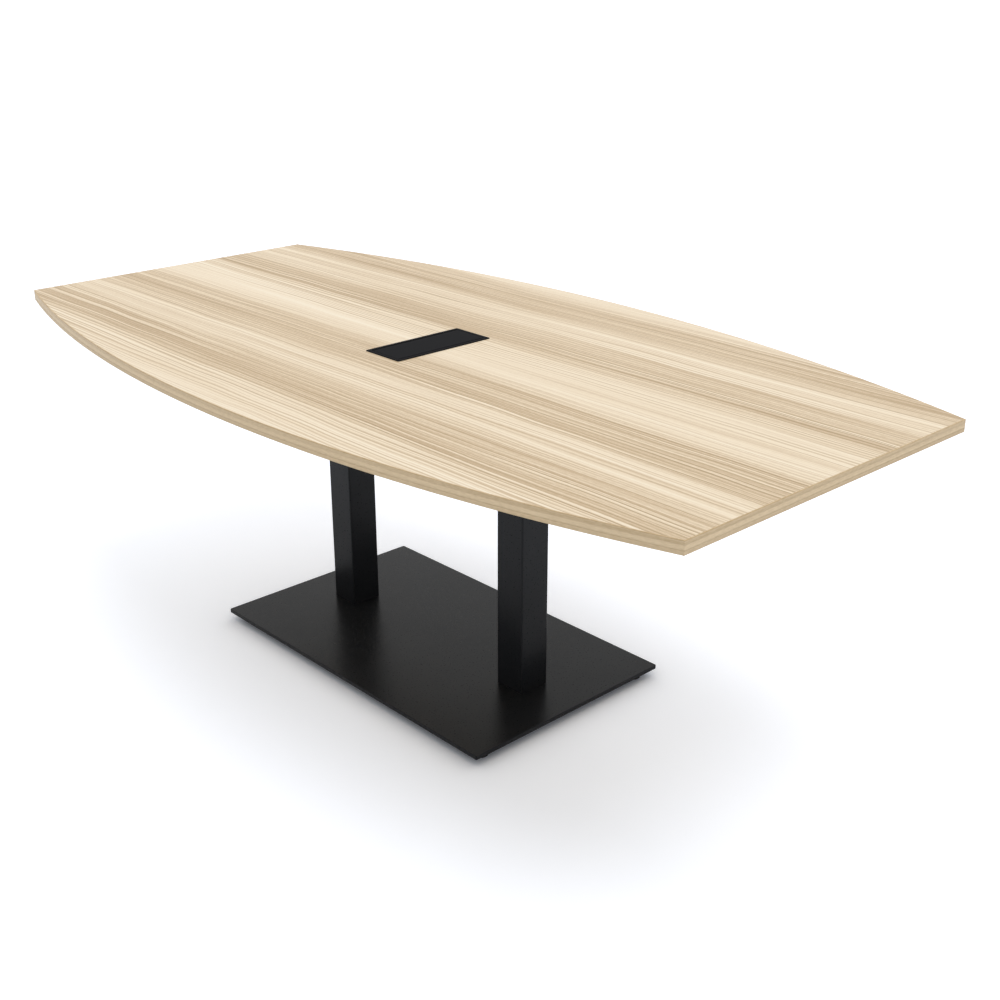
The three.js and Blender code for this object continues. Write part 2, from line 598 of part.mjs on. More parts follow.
// One column: tube, foot plate, mounting plate, and the bolts and screws that hold them
function addColumn(table, [label, side]) {
  const column = new THREE.Group();
  column.position.x = side * COLUMN_SPACING / 2;
  const tubeBottom = BASE_TOP + FILM;
  const tubeTop = MOUNT_PLATE_BOTTOM - FILM;
  const boreSide = COLUMN_SIDE - 2 * COLUMN_WALL;
  const boreRadius = Math.max(COLUMN_CORNER_RADIUS - COLUMN_WALL, FIT);
  const outside = roundedRectangle(COLUMN_SIDE, COLUMN_SIDE, COLUMN_CORNER_RADIUS);
  outside.holes.push(roundedRectangle(boreSide, boreSide, boreRadius));
  addPiece(column, `column_${label}`, prism(outside, tubeBottom, tubeTop), blackSteel);

  const footTop = tubeBottom + COLUMN_FOOT_THICKNESS;
  const footSide = boreSide - 2 * FIT;
  const foot = prism(roundedRectangle(footSide, footSide, boreRadius), tubeBottom, footTop);
  const threads = columnBoltPlaces().map(([x, y]) =>
    rod(around(COLUMN_BOLT_RADIUS + FIT), tubeBottom - THROUGH, footTop + THROUGH, x, y));
  addPiece(column, `column_foot_${label}`, cutBy(foot, threads), blackSteel);

  const plateOutline = roundedRectangle(MOUNT_PLATE_SIDE, MOUNT_PLATE_SIDE, MOUNT_PLATE_CORNER_RADIUS);
  const plate = prism(plateOutline, MOUNT_PLATE_BOTTOM, MOUNT_PLATE_TOP);
  const screwHoles = topScrewPlaces().map(([x, y]) =>
    rod(around(TOP_SCREW_RADIUS + FIT), MOUNT_PLATE_BOTTOM - THROUGH, MOUNT_PLATE_TOP + THROUGH, x, y));
  addPiece(column, `mounting_plate_${label}`, cutBy(plate, screwHoles), blackSteel);

  columnBoltPlaces().forEach(([x, y], index) => {
    const flangeTop = BASE_BOTTOM - FILM;
    const flangeBottom = flangeTop - BOLT_FLANGE_THICKNESS;
    const bolt = joined(
      rod(BOLT_FLANGE_RADIUS, flangeBottom, flangeTop, x, y),
      hexagon(BOLT_HEAD_FLATS, flangeBottom - BOLT_HEAD_HEIGHT, flangeTop - BOLT_FLANGE_THICKNESS / 2, x, y),
      rod(COLUMN_BOLT_RADIUS, flangeBottom, footTop - COLUMN_BOLT_SHORT, x, y),
    );
    addPiece(column, `column_bolt_${label}_${index + 1}`, bolt, zincSteel);
  });

  topScrewPlaces().forEach(([x, y], index) => {
    const seat = MOUNT_PLATE_BOTTOM - FILM;
    const tip = TOP_BOTTOM + TOP_SCREW_BITE;
    const shankTop = tip - TOP_SCREW_TIP;
    const screw = joined(
      rod(TOP_SCREW_HEAD_RADIUS, seat - TOP_SCREW_HEAD_HEIGHT, seat, x, y),
      rod(TOP_SCREW_RADIUS, seat - TOP_SCREW_HEAD_HEIGHT / 2, shankTop, x, y),
      rod(TOP_SCREW_RADIUS, shankTop, tip, x, y, FASTENER_SIDES, TOP_SCREW_TIP_RADIUS),
    );
    addPiece(column, `top_screw_${label}_${index + 1}`, screw, zincSteel);
  });
  table.add(column);
}

// One levelling glide: a weld nut under the plate, a stud that turns in it and a pad that swivels on the stud
function addGlide(table, [x, y], number) {
  const glide = new THREE.Group();
  glide.position.set(x, y, 0);
  const footBottom = PAD_FLOOR + RUNNING_GAP;
  const footTop = footBottom + STUD_FOOT_HEIGHT;
  const collarTop = COLLAR_BOTTOM + STUD_COLLAR_HEIGHT;
  const stud = joined(
    rod(STUD_FOOT_RADIUS, footBottom, footTop),
    rod(STUD_NECK_RADIUS, footTop - STUD_FOOT_HEIGHT / 2, COLLAR_BOTTOM + STUD_COLLAR_HEIGHT / 2),
    hexagon(STUD_COLLAR_FLATS, COLLAR_BOTTOM, collarTop),
    rod(STUD_RADIUS, collarTop - STUD_COLLAR_HEIGHT / 2, BASE_BOTTOM + STUD_BITE),
  );
  addPiece(glide, `glide_stud_${number}`, stud, zincSteel);

  const socketRadius = around(STUD_FOOT_RADIUS + RUNNING_GAP, GLIDE_SIDES);
  const neckRadius = around(STUD_NECK_RADIUS + RUNNING_GAP, GLIDE_SIDES);
  const pad = turned([
    [0, 0],
    [PAD_RADIUS, 0],
    [PAD_RADIUS, PAD_RIM_HEIGHT],
    [PAD_TOP_RADIUS, PAD_HEIGHT],
    [neckRadius, PAD_HEIGHT],
    [neckRadius, footTop + RUNNING_GAP],
    [socketRadius, footTop + RUNNING_GAP],
    [socketRadius, PAD_FLOOR],
    [0, PAD_FLOOR],
  ], GLIDE_SIDES);
  addPiece(glide, `glide_pad_${number}`, pad, padPlastic);

  const nutTop = NUT_BOTTOM + NUT_HEIGHT;
  const thread = rod(around(STUD_RADIUS + RUNNING_GAP), NUT_BOTTOM - THROUGH, nutTop + THROUGH);
  addPiece(glide, `glide_nut_${number}`, hexagon(NUT_FLATS, NUT_BOTTOM, nutTop).subtract(thread), zincSteel);
  table.add(glide);
}

const table = new THREE.Group();
table.name = "conference_table";
addTop(table);
addPowerBox(table);
addBasePlate(table);
for (const column of COLUMNS) addColumn(table, column);
glidePlaces().forEach((place, index) => addGlide(table, place, index + 1));

export default table;
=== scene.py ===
"""A boat-shaped conference table on a twin-column steel base, dressed around its CAD frame.

Laid out as an add-on: the sizes and colours that a user would change are scene properties, and an
operator makes each group of pieces. Lengths are metres, +Z is up and +X runs along the table.
"""

import json
import math

import bmesh
import bpy
from bpy.props import FloatProperty, FloatVectorProperty, PointerProperty
from mathutils import Matrix, Vector


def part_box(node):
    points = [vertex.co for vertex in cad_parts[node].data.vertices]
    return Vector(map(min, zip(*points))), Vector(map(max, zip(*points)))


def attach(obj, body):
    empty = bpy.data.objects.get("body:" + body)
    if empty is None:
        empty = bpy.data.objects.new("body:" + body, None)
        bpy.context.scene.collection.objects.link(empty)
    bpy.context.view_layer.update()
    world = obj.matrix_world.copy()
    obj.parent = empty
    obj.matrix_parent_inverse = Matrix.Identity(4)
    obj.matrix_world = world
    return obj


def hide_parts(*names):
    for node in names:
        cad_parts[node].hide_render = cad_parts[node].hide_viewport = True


bl_info = {
    "name": "Conference Table",
    "version": (1, 0, 0),
    "blender": (4, 5, 0),
    "location": "3D View > Sidebar > Table",
    "description": "Finishes the pieces of a conference table on its CAD frame and sets its stage",
    "category": "Object",
}

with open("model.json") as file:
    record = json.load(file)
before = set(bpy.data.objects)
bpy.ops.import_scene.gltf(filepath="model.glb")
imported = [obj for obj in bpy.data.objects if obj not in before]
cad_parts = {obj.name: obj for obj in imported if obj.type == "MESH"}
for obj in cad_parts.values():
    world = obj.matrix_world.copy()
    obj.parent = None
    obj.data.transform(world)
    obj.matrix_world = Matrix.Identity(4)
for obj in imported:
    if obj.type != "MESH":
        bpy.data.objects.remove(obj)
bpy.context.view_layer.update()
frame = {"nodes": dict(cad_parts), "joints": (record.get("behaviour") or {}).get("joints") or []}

MM = 0.001
TABLE = "table"  # the body that every fixed piece rides on
SIDES = ("left", "right")
ENDS = ("front", "rear")

# Fineness of round forms
CORNER_STEPS = 6
EASE_STEPS = 3
SIDE_STEPS = 96
ROUND_SIDES = 32
HEX_SIDES = 24
THREAD_SIDES = 24
THREAD_STEPS = 6  # rings in one pitch
RIPPLE_STEPS = 4  # points along one ripple of a weld bead
BEVEL_STEPS = 2
LEAST_RADIUS = 0.1 * MM
SAME_POINT = 0.01 * MM  # corners that lie this close are one
SAME_FLAT = math.radians(1)  # faces that turn by less than this are one flat
SMOOTH_ANGLE = math.radians(38)

# Table top
END_WIDTH = 812 * MM  # the straight ends, between the curved sides
GLUE_LINE = 0.06 * MM  # between a sheet and the strip round it
CUTOUT_COVER = 6 * MM  # how far the power box's rim laps its cut-out

# Base: holes are radii.
COLUMN_RADIUS = 3.5 * MM
COLUMN_WALL = 2.5 * MM
PLATE_CORNER = 3 * MM
FIXING_PLATE_CORNER = 14 * MM
SCREW_HOLE = 2.7 * MM
BOLT_HOLE = 4.5 * MM
WELD_LEG = 4 * MM
WELD_PROFILE = ((0, 0), (1, 0), (0.62, 0.36), (0.36, 0.62), (0, 1))  # out and down, in legs
WELD_RIPPLE = 5.5 * MM  # from one ripple of the bead to the next
WELD_SWELL = 0.1  # how far a ripple stands out, as a share of the leg

# Fasteners: flanges and shanks are radii, flats are widths across a hexagon.
BOLT_FLATS = 13 * MM
BOLT_FLANGE = 8.5 * MM
BOLT_FLANGE_THICKNESS = 1.5 * MM
BOLT_FLANGE_CHAMFER = 0.4 * MM
BOLT_SHANK = 3.9 * MM
BOLT_TIP_CHAMFER = 0.5 * MM
HEX_FACE = 0.95  # the round face of a hexagon, as a share of its flats
HEX_CHAMFER = math.radians(30)
SCREW_SHANK = 2.4 * MM
SCREW_TIP = 4 * MM
SCREW_POINT = 0.25  # the end of a pointed screw, as a share of its shank
CLAMP_HEAD_HEIGHT = 2.4 * MM
CLAMP_SHANK = 2 * MM
HEAD_FLAT = 0.62  # the flat of a pan head, as a share of its radius
HEAD_RIM = 0.45  # the upright rim of a pan head, as a share of its height
RECESS_DEPTH = 1.6 * MM
RECESS_SPAN = 0.9  # how far a cross recess reaches, as a share of the head's flat
RECESS_FLOOR = 0.55  # the same at its floor, as a share of its mouth
RECESS_ARM = 0.28  # half the width of an arm, as a share of its reach

# Levelling glides: bores, necks and feet are radii.
NUT_FLATS = 15 * MM
NUT_BORE = 4.2 * MM
STUD_RADIUS = 3.9 * MM
STUD_NECK = 2.8 * MM
STUD_FOOT = 5.488 * MM
STUD_FOOT_HEIGHT = 2.2 * MM
STUD_COLLAR_FLATS = 13 * MM
STUD_COLLAR = 3 * MM
STUD_HOLE_SPARE = 0.6 * MM
COLLAR_GAP = 0.3 * MM  # from a pad to the collar above it
THREAD_PITCH = 1.25 * MM
THREAD_DEPTH = 0.55 * MM
PAD_NECK = 3.1 * MM
PAD_ARRIS = 0.6 * MM
PAD_SHOULDER = 0.36  # where a pad's dome starts, as a share of its height
PAD_CROWN = 0.7  # the flat on a pad, as a share of its radius
PAD_FLOOR = 0.6  # where a pad's neck hole starts, as a share of its height

# Power box
RIM_WIDTH = 9 * MM
RIM_CORNER = 3 * MM
COLLAR_WALL = 2 * MM
LID_THICKNESS = 3 * MM
LEDGE_WIDTH = 4.5 * MM
LEDGE_GAP = 0.3 * MM
BARREL_CLEARANCE = 1 * MM
FINGER_SCOOP = 40 * MM
DECK_ARRIS = 0.3 * MM
SMALL_ARRIS = 0.4 * MM  # on outlets, inlet pins and brackets
FACE_THICKNESS = 1.5 * MM
FACE_LAP = 3.5 * MM
FACE_CORNER = 1.6 * MM
SLOT_FLARE = 0.3 * MM
BLADE_SPACING = 12.7 * MM
BLADE_OFFSET = 4 * MM
BLADE_SLOT = 2.2 * MM
BLADE_CORNER = 0.3 * MM
BLADE_LENGTHS = (8.4 * MM, 6.8 * MM)  # neutral and live
BLADE_DEPTH = 18 * MM
EARTH_OFFSET = 11.9 * MM
EARTH_RADIUS = 2.6 * MM
USB_LENGTH = 13 * MM
USB_WIDTH = 5.8 * MM
USB_CORNER = 0.5 * MM
USB_FLARE = 0.2 * MM
USB_SPACING = 12 * MM
USB_DEPTH = 11 * MM
SHELL_GAP = 0.1 * MM  # from a port's shell to the walls and the floor round it
SHELL_SHEET = 0.4 * MM
SHELL_DROP = 0.4 * MM  # a drop is how far something stays below the outlet's face
TONGUE_BACK = 1.6 * MM
TONGUE_FRONT = 0.3 * MM
TONGUE_LENGTH = 10.8 * MM
TONGUE_DROP = 1.4 * MM
USB_CONTACTS = 4
USB_CONTACT_SPACING = 2.3 * MM
USB_CONTACT_WIDTH = 1 * MM
USB_CONTACT_SHEET = 0.15 * MM
USB_CONTACT_START = 1 * MM  # above the port's floor
USB_CONTACT_DROP = 2 * MM
DATA_LENGTH = 12 * MM
DATA_WIDTH = 9 * MM
LATCH_LENGTH = 6 * MM
LATCH_WIDTH = 2.5 * MM
DATA_DEPTH = 15 * MM
DATA_CONTACTS = 8
DATA_CONTACT_SPACING = 1.02 * MM
SPRING_WIDTH = 0.44 * MM
SPRING_LINE = ((-4.2 * MM, 1 * MM), (-4.2 * MM, 6 * MM), (1.5 * MM, 2 * MM))  # from middle and floor
INLET_FACE = 2 * MM
INLET_FACE_CORNER = 2 * MM
INLET_BODY_CORNER = 1 * MM
INLET_LAP = 3.5 * MM
INLET_WALL = 2 * MM
INLET_DEPTH = 17 * MM
INLET_CUT_CORNER = 4 * MM
INLET_PINS = 3
INLET_PIN_SPACING = 7 * MM
INLET_PIN_WIDTH = 4 * MM
INLET_PIN_THICKNESS = 2 * MM
INLET_PIN_REACH = 10 * MM

# Stage
SENSOR_WIDTH = 36  # millimetres, as Blender counts lenses
FLOOR_HALF = 40.0
LIFT_REACH = 400 * MM  # how close a thing dims the white that the floor shows by itself
LIFT_FADING = 1.5  # above 1, the white fades faster towards what stands on the floor
LIFT_SAMPLES = 4
# Where each lamp stands, in degrees from +X and from upright, and how wide it is.
LAMPS = {"key": (135, 35, 90), "fill": (0, 15, 30)}


def linear(code):
    """Linear red, green and blue of an sRGB hex value."""
    channels = [int(code[place:place + 2], 16) / 255 for place in (1, 3, 5)]
    return [c / 12.92 if c <= 0.04045 else ((c + 0.055) / 1.055) ** 2.4 for c in channels]


def size_property(name, millimetres, description):
    return FloatProperty(
        name=name, description=description, default=millimetres * MM, min=0, precision=4, unit="LENGTH"
    )


def colour_property(name, code, description):
    return FloatVectorProperty(
        name=name, description=description, default=linear(code), size=3, min=0, max=1, subtype="COLOR"
    )


def place_property(name, place, description):
    return FloatVectorProperty(
        name=name, description=description, default=place, subtype="TRANSLATION", unit="LENGTH"
    )


def light_property(name, level, description):
    return FloatProperty(name=name, description=description, default=level, min=0)


class TopLooks(bpy.types.PropertyGroup):
    """Sizes and colours of the table top."""

    arris: size_property("Arris", 0.8, "Rounding of the edge strips' outer arrises")
    repeat: size_property("Decor repeat", 564, "Width of the printed decor before its bands repeat")
    pale: colour_property("Pale", "#F8EDD8", "Palest grain lines of the decor")
    cream: colour_property("Cream", "#F0DFC4", "Broad light bands of the decor")
    tan: colour_property("Tan", "#CDB593", "Broad darker bands of the decor")
    grain: colour_property("Grain", "#B09672", "Darkest grain lines of the decor")
    strip: colour_property("Edge strip", "#F3DBB5", "Ground colour of the edge strips")
    strip_grain: colour_property("Edge strip grain", "#C8AC82", "Grain lines of the edge strips")
    chips: colour_property("Chipboard", "#B3925F", "Wood chips in the core")


class BaseLooks(bpy.types.PropertyGroup):
    """Sizes and colours of the base, the glides and the fasteners."""

    arris: size_property("Plate arris", 0.8, "Rounding of the base plate's and fixing plates' edges")
    coat: colour_property("Powder coat", "#1C1D1F", "Black of the coated steel")
    zinc: colour_property("Zinc", "#C2C5C9", "Plating on bolts, screws, nuts and studs")
    pad: colour_property("Glide pad", "#1A1A1A", "Nylon of the glide pads")


class PowerBoxLooks(bpy.types.PropertyGroup):
    """Sizes and colours of the power box."""

    arris: size_property("Arris", 0.5, "Rounding of the rim's, the lid's and the tub's edges")
    shell: colour_property("Shell", "#171719", "Moulded rim, lid, tub and deck")
    outlet: colour_property("Outlet", "#3A3B3D", "Moulded outlet faces")
    nickel: colour_property("Nickel", "#CFCBC2", "Plated port shells and inlet pins")
    gold: colour_property("Gold", "#E3B655", "Flashed contact springs")


class StageLooks(bpy.types.PropertyGroup):
    """The camera, the floor and the lamps."""

    camera_place: place_property("Camera", (2.2490, -1.8914, 1.5892), "Where the camera stands")
    camera_target: place_property("Target", (0.2312, -0.0017, 0.4496), "Middle of the picture")
    lens: FloatProperty(name="Lens", description="Focal length", default=49.61, unit="CAMERA")
    floor: colour_property("Floor", "#EEF3FD", "Seamless paper that the table stands on")
    sky: light_property("Sky", 0.45, "Light from all round")
    key: light_property("Key lamp", 1.21, "Light of the wide lamp behind, left")
    fill: light_property("Fill lamp", 0.77, "Light of the lamp on the right")
    lift: light_property("Floor lift", 0.378, "White that the floor shows by itself")


# Outlines: each is a function of an inset that gives points counted anticlockwise.
def rectangle(size_x, size_y, radius, middle=(0, 0)):
    """A rectangle with round corners."""
    corners = ((1, -1), (1, 1), (-1, 1), (-1, -1))

    def outline(inset=0.0):
        bend = max(radius - inset, LEAST_RADIUS)
        reach_x = size_x / 2 - inset - bend
        reach_y = size_y / 2 - inset - bend
        points = []
        for quarter, (side_x, side_y) in enumerate(corners):
            for step in range(CORNER_STEPS + 1):
                angle = (quarter - 1 + step / CORNER_STEPS) * math.pi / 2
                x = side_x * reach_x + bend * math.cos(angle)
                y = side_y * reach_y + bend * math.sin(angle)
                points.append((middle[0] + x, middle[1] + y))
        return points

    return outline


def circle(radius, middle=(0, 0)):
    """A round outline."""

    def outline(inset=0.0):
        turns = [2 * math.pi * step / ROUND_SIDES for step in range(ROUND_SIDES)]
        reach = radius - inset
        return [(middle[0] + reach * math.cos(a), middle[1] + reach * math.sin(a)) for a in turns]

    return outline


def polygon(*points):
    """A straight-sided outline that takes no inset."""
    return lambda inset=0.0: list(points)


def at_height(points, height):
    """A ring: an outline's points at one height."""
    return [(x, y, height) for x, y in points]


def straight(outline, low, high):
    """Rings of a plain upright wall."""
    return [at_height(outline(), low), at_height(outline(), high)]


def rounded(low, high, ease):
    """Insets and heights up a wall whose lower and upper arrises are rounded."""
    turns = [step * math.pi / 2 / EASE_STEPS for step in range(EASE_STEPS + 1)]
    lower = [(ease * (1 - math.sin(a)), low + ease * (1 - math.cos(a))) for a in turns]
    return lower + [(inset, low + high - height) for inset, height in reversed(lower)]


def eased(outline, low, high, ease):
    """Rings of an upright wall with both arrises rounded."""
    return [at_height(outline(inset), height) for inset, height in rounded(low, high, ease)]


def turned(profile):
    """Rings of a round form from its radii and heights."""
    return [at_height(circle(radius)(), height) for radius, height in profile]


def dome(radius, crown, low, high, steps):
    """Radii and heights of a shoulder that curves in to a flat crown."""
    turns = [step * math.pi / 2 / steps for step in range(1, steps + 1)]
    return [(crown + (radius - crown) * math.cos(a), low + (high - low) * math.sin(a)) for a in turns]


# Solids: bmeshes made of rings, counted from the bottom up.
def wall(bm, rings):
    """Faces between rings of equal count; gives the first and the last ring's vertices."""
    loops = [[bm.verts.new(point) for point in ring] for ring in rings]
    for below, above in zip(loops, loops[1:]):
        after_below = below[1:] + below[:1]
        after_above = above[1:] + above[:1]
        for corners in zip(below, after_below, after_above, above):
            bm.faces.new(corners)
    return loops[0], loops[-1]


def cap(bm, loops):
    """Closes an outline of vertices, leaving the other outlines open as holes."""
    if len(loops) == 1:
        bm.faces.new(loops[0])
        return
    edges = [bm.edges.get(pair) for loop in loops for pair in zip(loop, loop[1:] + loop[:1])]
    bmesh.ops.triangle_fill(bm, edges=edges, use_beauty=True)


def solid(outer, holes=(), pockets=(), sockets=()):
    """A closed body; holes go through, pockets go down from the top, sockets go up from the bottom."""
    bm = bmesh.new()
    ends = [wall(bm, rings) for rings in (outer, *holes)]
    sunk = [wall(bm, rings) for rings in pockets]
    raised = [wall(bm, rings) for rings in sockets]
    for floor, _ in sunk:
        cap(bm, [floor])
    for _, ceiling in raised:
        cap(bm, [ceiling])
    cap(bm, [low for low, _ in ends + raised])
    cap(bm, [high for _, high in ends] + [mouth for _, mouth in sunk])
    bmesh.ops.recalc_face_normals(bm, faces=bm.faces[:])
    return bm


def block(low, high):
    """A plain box between two corners."""
    outline = polygon((low[0], low[1]), (high[0], low[1]), (high[0], high[1]), (low[0], high[1]))
    return solid(straight(outline, low[2], high[2]))


def along_y(section, low, high):
    """A body of one section, given by X and Z, between two places along Y."""
    return solid([[(x, y, z) for x, z in section] for y in (low, high)])


def together(*bodies):
    """One bmesh of several bodies."""
    whole = bmesh.new()
    for body in bodies:
        part = bpy.data.meshes.new("part")
        body.to_mesh(part)
        body.free()
        whole.from_mesh(part)
        bpy.data.meshes.remove(part)
    return whole


def turn(bm, matrix):
    """The same body, turned or moved."""
    bm.transform(matrix)
    return bm


# Pieces
def spot(node):
    """The middle of a CAD node, seen from above."""
    low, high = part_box(node)
    return (low.x + high.x) / 2, (low.y + high.y) / 2


def numbered(stem):
    """The names of four like CAD nodes."""
    return [f"{stem}_{number}" for number in range(1, 5)]


def row(count, spacing):
    """Places of like things side by side, with zero in the middle."""
    return [(number - (count - 1) / 2) * spacing for number in range(count)]


def soften(made, ease):
    """Rounds a piece's arrises without touching its mesh."""
    rounding = made.modifiers.new("arrises", "BEVEL")
    rounding.width = ease
    rounding.segments = BEVEL_STEPS
    rounding.limit_method = "ANGLE"
    rounding.angle_limit = SMOOTH_ANGLE
    rounding.use_clamp_overlap = True


def piece(name, bm, material, nodes=(), body=TABLE, ease=0.0):
    """A finished piece that rides on a body and stands for CAD nodes."""
    mesh = bpy.data.meshes.new(name)
    bm.to_mesh(mesh)
    bm.free()
    mesh.materials.append(material)
    mesh.shade_smooth()
    mesh.set_sharp_from_angle(angle=SMOOTH_ANGLE)
    made = bpy.data.objects.new(name, mesh)
    bpy.context.scene.collection.objects.link(made)
    if ease:
        soften(made, ease)
    normals = made.modifiers.new("even_faces", "WEIGHTED_NORMAL")
    normals.keep_sharp = True
    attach(made, body)
    if nodes:
        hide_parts(*nodes)


def hang(name, bm, place, material, node, body=TABLE):
    """A piece made about the Z axis and moved to its place."""
    piece(name, turn(bm, Matrix.Translation((*place, 0))), material, [node], body)


def dress(node, material, ease=0.0):
    """Finishes a CAD node whose shape is right, with its arrises rounded where that shows."""
    made = frame["nodes"][node]
    made.data.materials.clear()
    made.data.materials.append(material)
    if ease:
        weld = made.modifiers.new("joined_corners", "WELD")
        weld.merge_threshold = SAME_POINT
        flats = made.modifiers.new("whole_flats", "DECIMATE")
        flats.decimate_type = "DISSOLVE"
        flats.angle_limit = SAME_FLAT
        soften(made, ease)
        made.modifiers.new("even_faces", "WEIGHTED_NORMAL")


# Finishes: each is named for the real material and how its surface was made.
def add(tree, kind, inputs=(), stops=(), **settings):
    """Adds a node: inputs are values, sockets or nodes (their first output), stops fill a ramp."""
    made = tree.nodes.new(kind)
    for setting, value in settings.items():
        setattr(made, setting, value)
    for key, value in dict(inputs).items():
        if isinstance(value, bpy.types.Node):
            value = value.outputs[0]
        if isinstance(value, bpy.types.NodeSocket):
            tree.links.new(value, made.inputs[key])
        else:
            made.inputs[key].default_value = value
    for number, (place, colour) in enumerate(stops):
        ramp = made.color_ramp.elements
        element = ramp[number] if number < 2 else ramp.new(place)
        element.position = place
        element.color = (*colour, 1)
    return made


def begin(name):
    """An empty node material, and its tree."""
    made = bpy.data.materials.new(name)
    made.use_nodes = True
    made.node_tree.nodes.clear()
    return made, made.node_tree


def close(tree, sockets):
    """Ends a material with its shader, whose sockets take constants or other nodes' outputs."""
    shader = add(tree, "ShaderNodeBsdfPrincipled", sockets)
    add(tree, "ShaderNodeOutputMaterial", {"Surface": shader})


def material_of(make, looks):
    """The material that a function makes, made once and named for the function."""
    return bpy.data.materials.get(make.__name__) or make(make.__name__, looks)


def streaks(tree, place, length, breadth, height=None):
    """A pattern of soft streaks with sizes along X, Y and, where one is given, Z."""
    stretch = (1 / length, 1 / breadth, 1 / height if height else 1)
    stretched = add(tree, "ShaderNodeVectorMath", {0: place, 1: stretch}, operation="MULTIPLY")
    return add(
        tree, "ShaderNodeTexNoise", {"Vector": stretched, "Scale": 1, "Detail": 1},
        noise_dimensions="3D" if height else "2D",
    )


def layered(tree, start, place, layers):
    """A value with layers of streaks added: their sizes, and how far each shifts the value."""
    total = start
    for *sizes, shift in layers:
        layer = streaks(tree, place, *sizes)
        level = add(tree, "ShaderNodeMath", {0: layer, 1: 0.5}, operation="SUBTRACT")
        total = add(tree, "ShaderNodeMath", {0: level, 1: shift, 2: total}, operation="MULTIPLY_ADD")
    return total


# The decor's broad bands across one repeat: millimetres from its start, and tone from tan to cream.
DECOR_BANDS = (
    (0, 0.24), (40, 0.65), (75, 0.88), (125, 0.94), (145, 0.90), (175, 0.96), (195, 0.84), (216, 0.88),
    (244, 0.36), (249, 0.04), (253, 0.22), (285, 0.24), (320, 0.38), (360, 0.58), (384, 0.90),
    (408, 0.68), (432, 0.90), (462, 0.55), (505, 0.20), (528, 0.45), (564, 0.24),
)
# Zones with close lines, and how strongly they show.
DECOR_LINES = (
    (0, 0.35), (60, 0.15), (110, 0.15), (140, 1.0), (225, 1.0), (250, 0.5), (330, 0.35), (400, 0.6),
    (450, 0.4), (510, 0.5), (564, 0.35),
)
DECOR_START = -101 * MM  # where a repeat starts across the table
# How the bands sway slowly and the grain in them a little faster: length, breadth and reach.
DECOR_SWAY = ((1100 * MM, 350 * MM, 22 * MM), (240 * MM, 80 * MM, 8 * MM))
# Streaks in the print: length, breadth, and how far they shift the tone. The last are the wood's
# pores, about 0.3 mm broad, and are drawn broader so that they show.
DECOR_STREAKS = (
    (2400 * MM, 30 * MM, 0.2), (2000 * MM, 12 * MM, 0.6), (1800 * MM, 5.5 * MM, 1.5),
    (1400 * MM, 3.5 * MM, 1.6), (250 * MM, 1.6 * MM, 0.7), (14 * MM, 0.7 * MM, 0.9),
)
LINE_SPACING = 10.5 * MM
LINE_SHIFT = (1600 * MM, 35 * MM)  # length and breadth of the noise that pushes lines out of step
LINE_PUSH = 16  # how far it pushes them, in radians of their wave
LINE_FADE = (1200 * MM, 30 * MM)  # length and breadth of the noise that fades them in and out
LINE_SHARPNESS = 2.5  # above 1, the dark lines are narrower than the gaps between them
# Length and breadth of the pores pressed into the sheet, drawn broader than the real ones to show.
PRESSED_PORE = (12 * MM, 1.5 * MM)


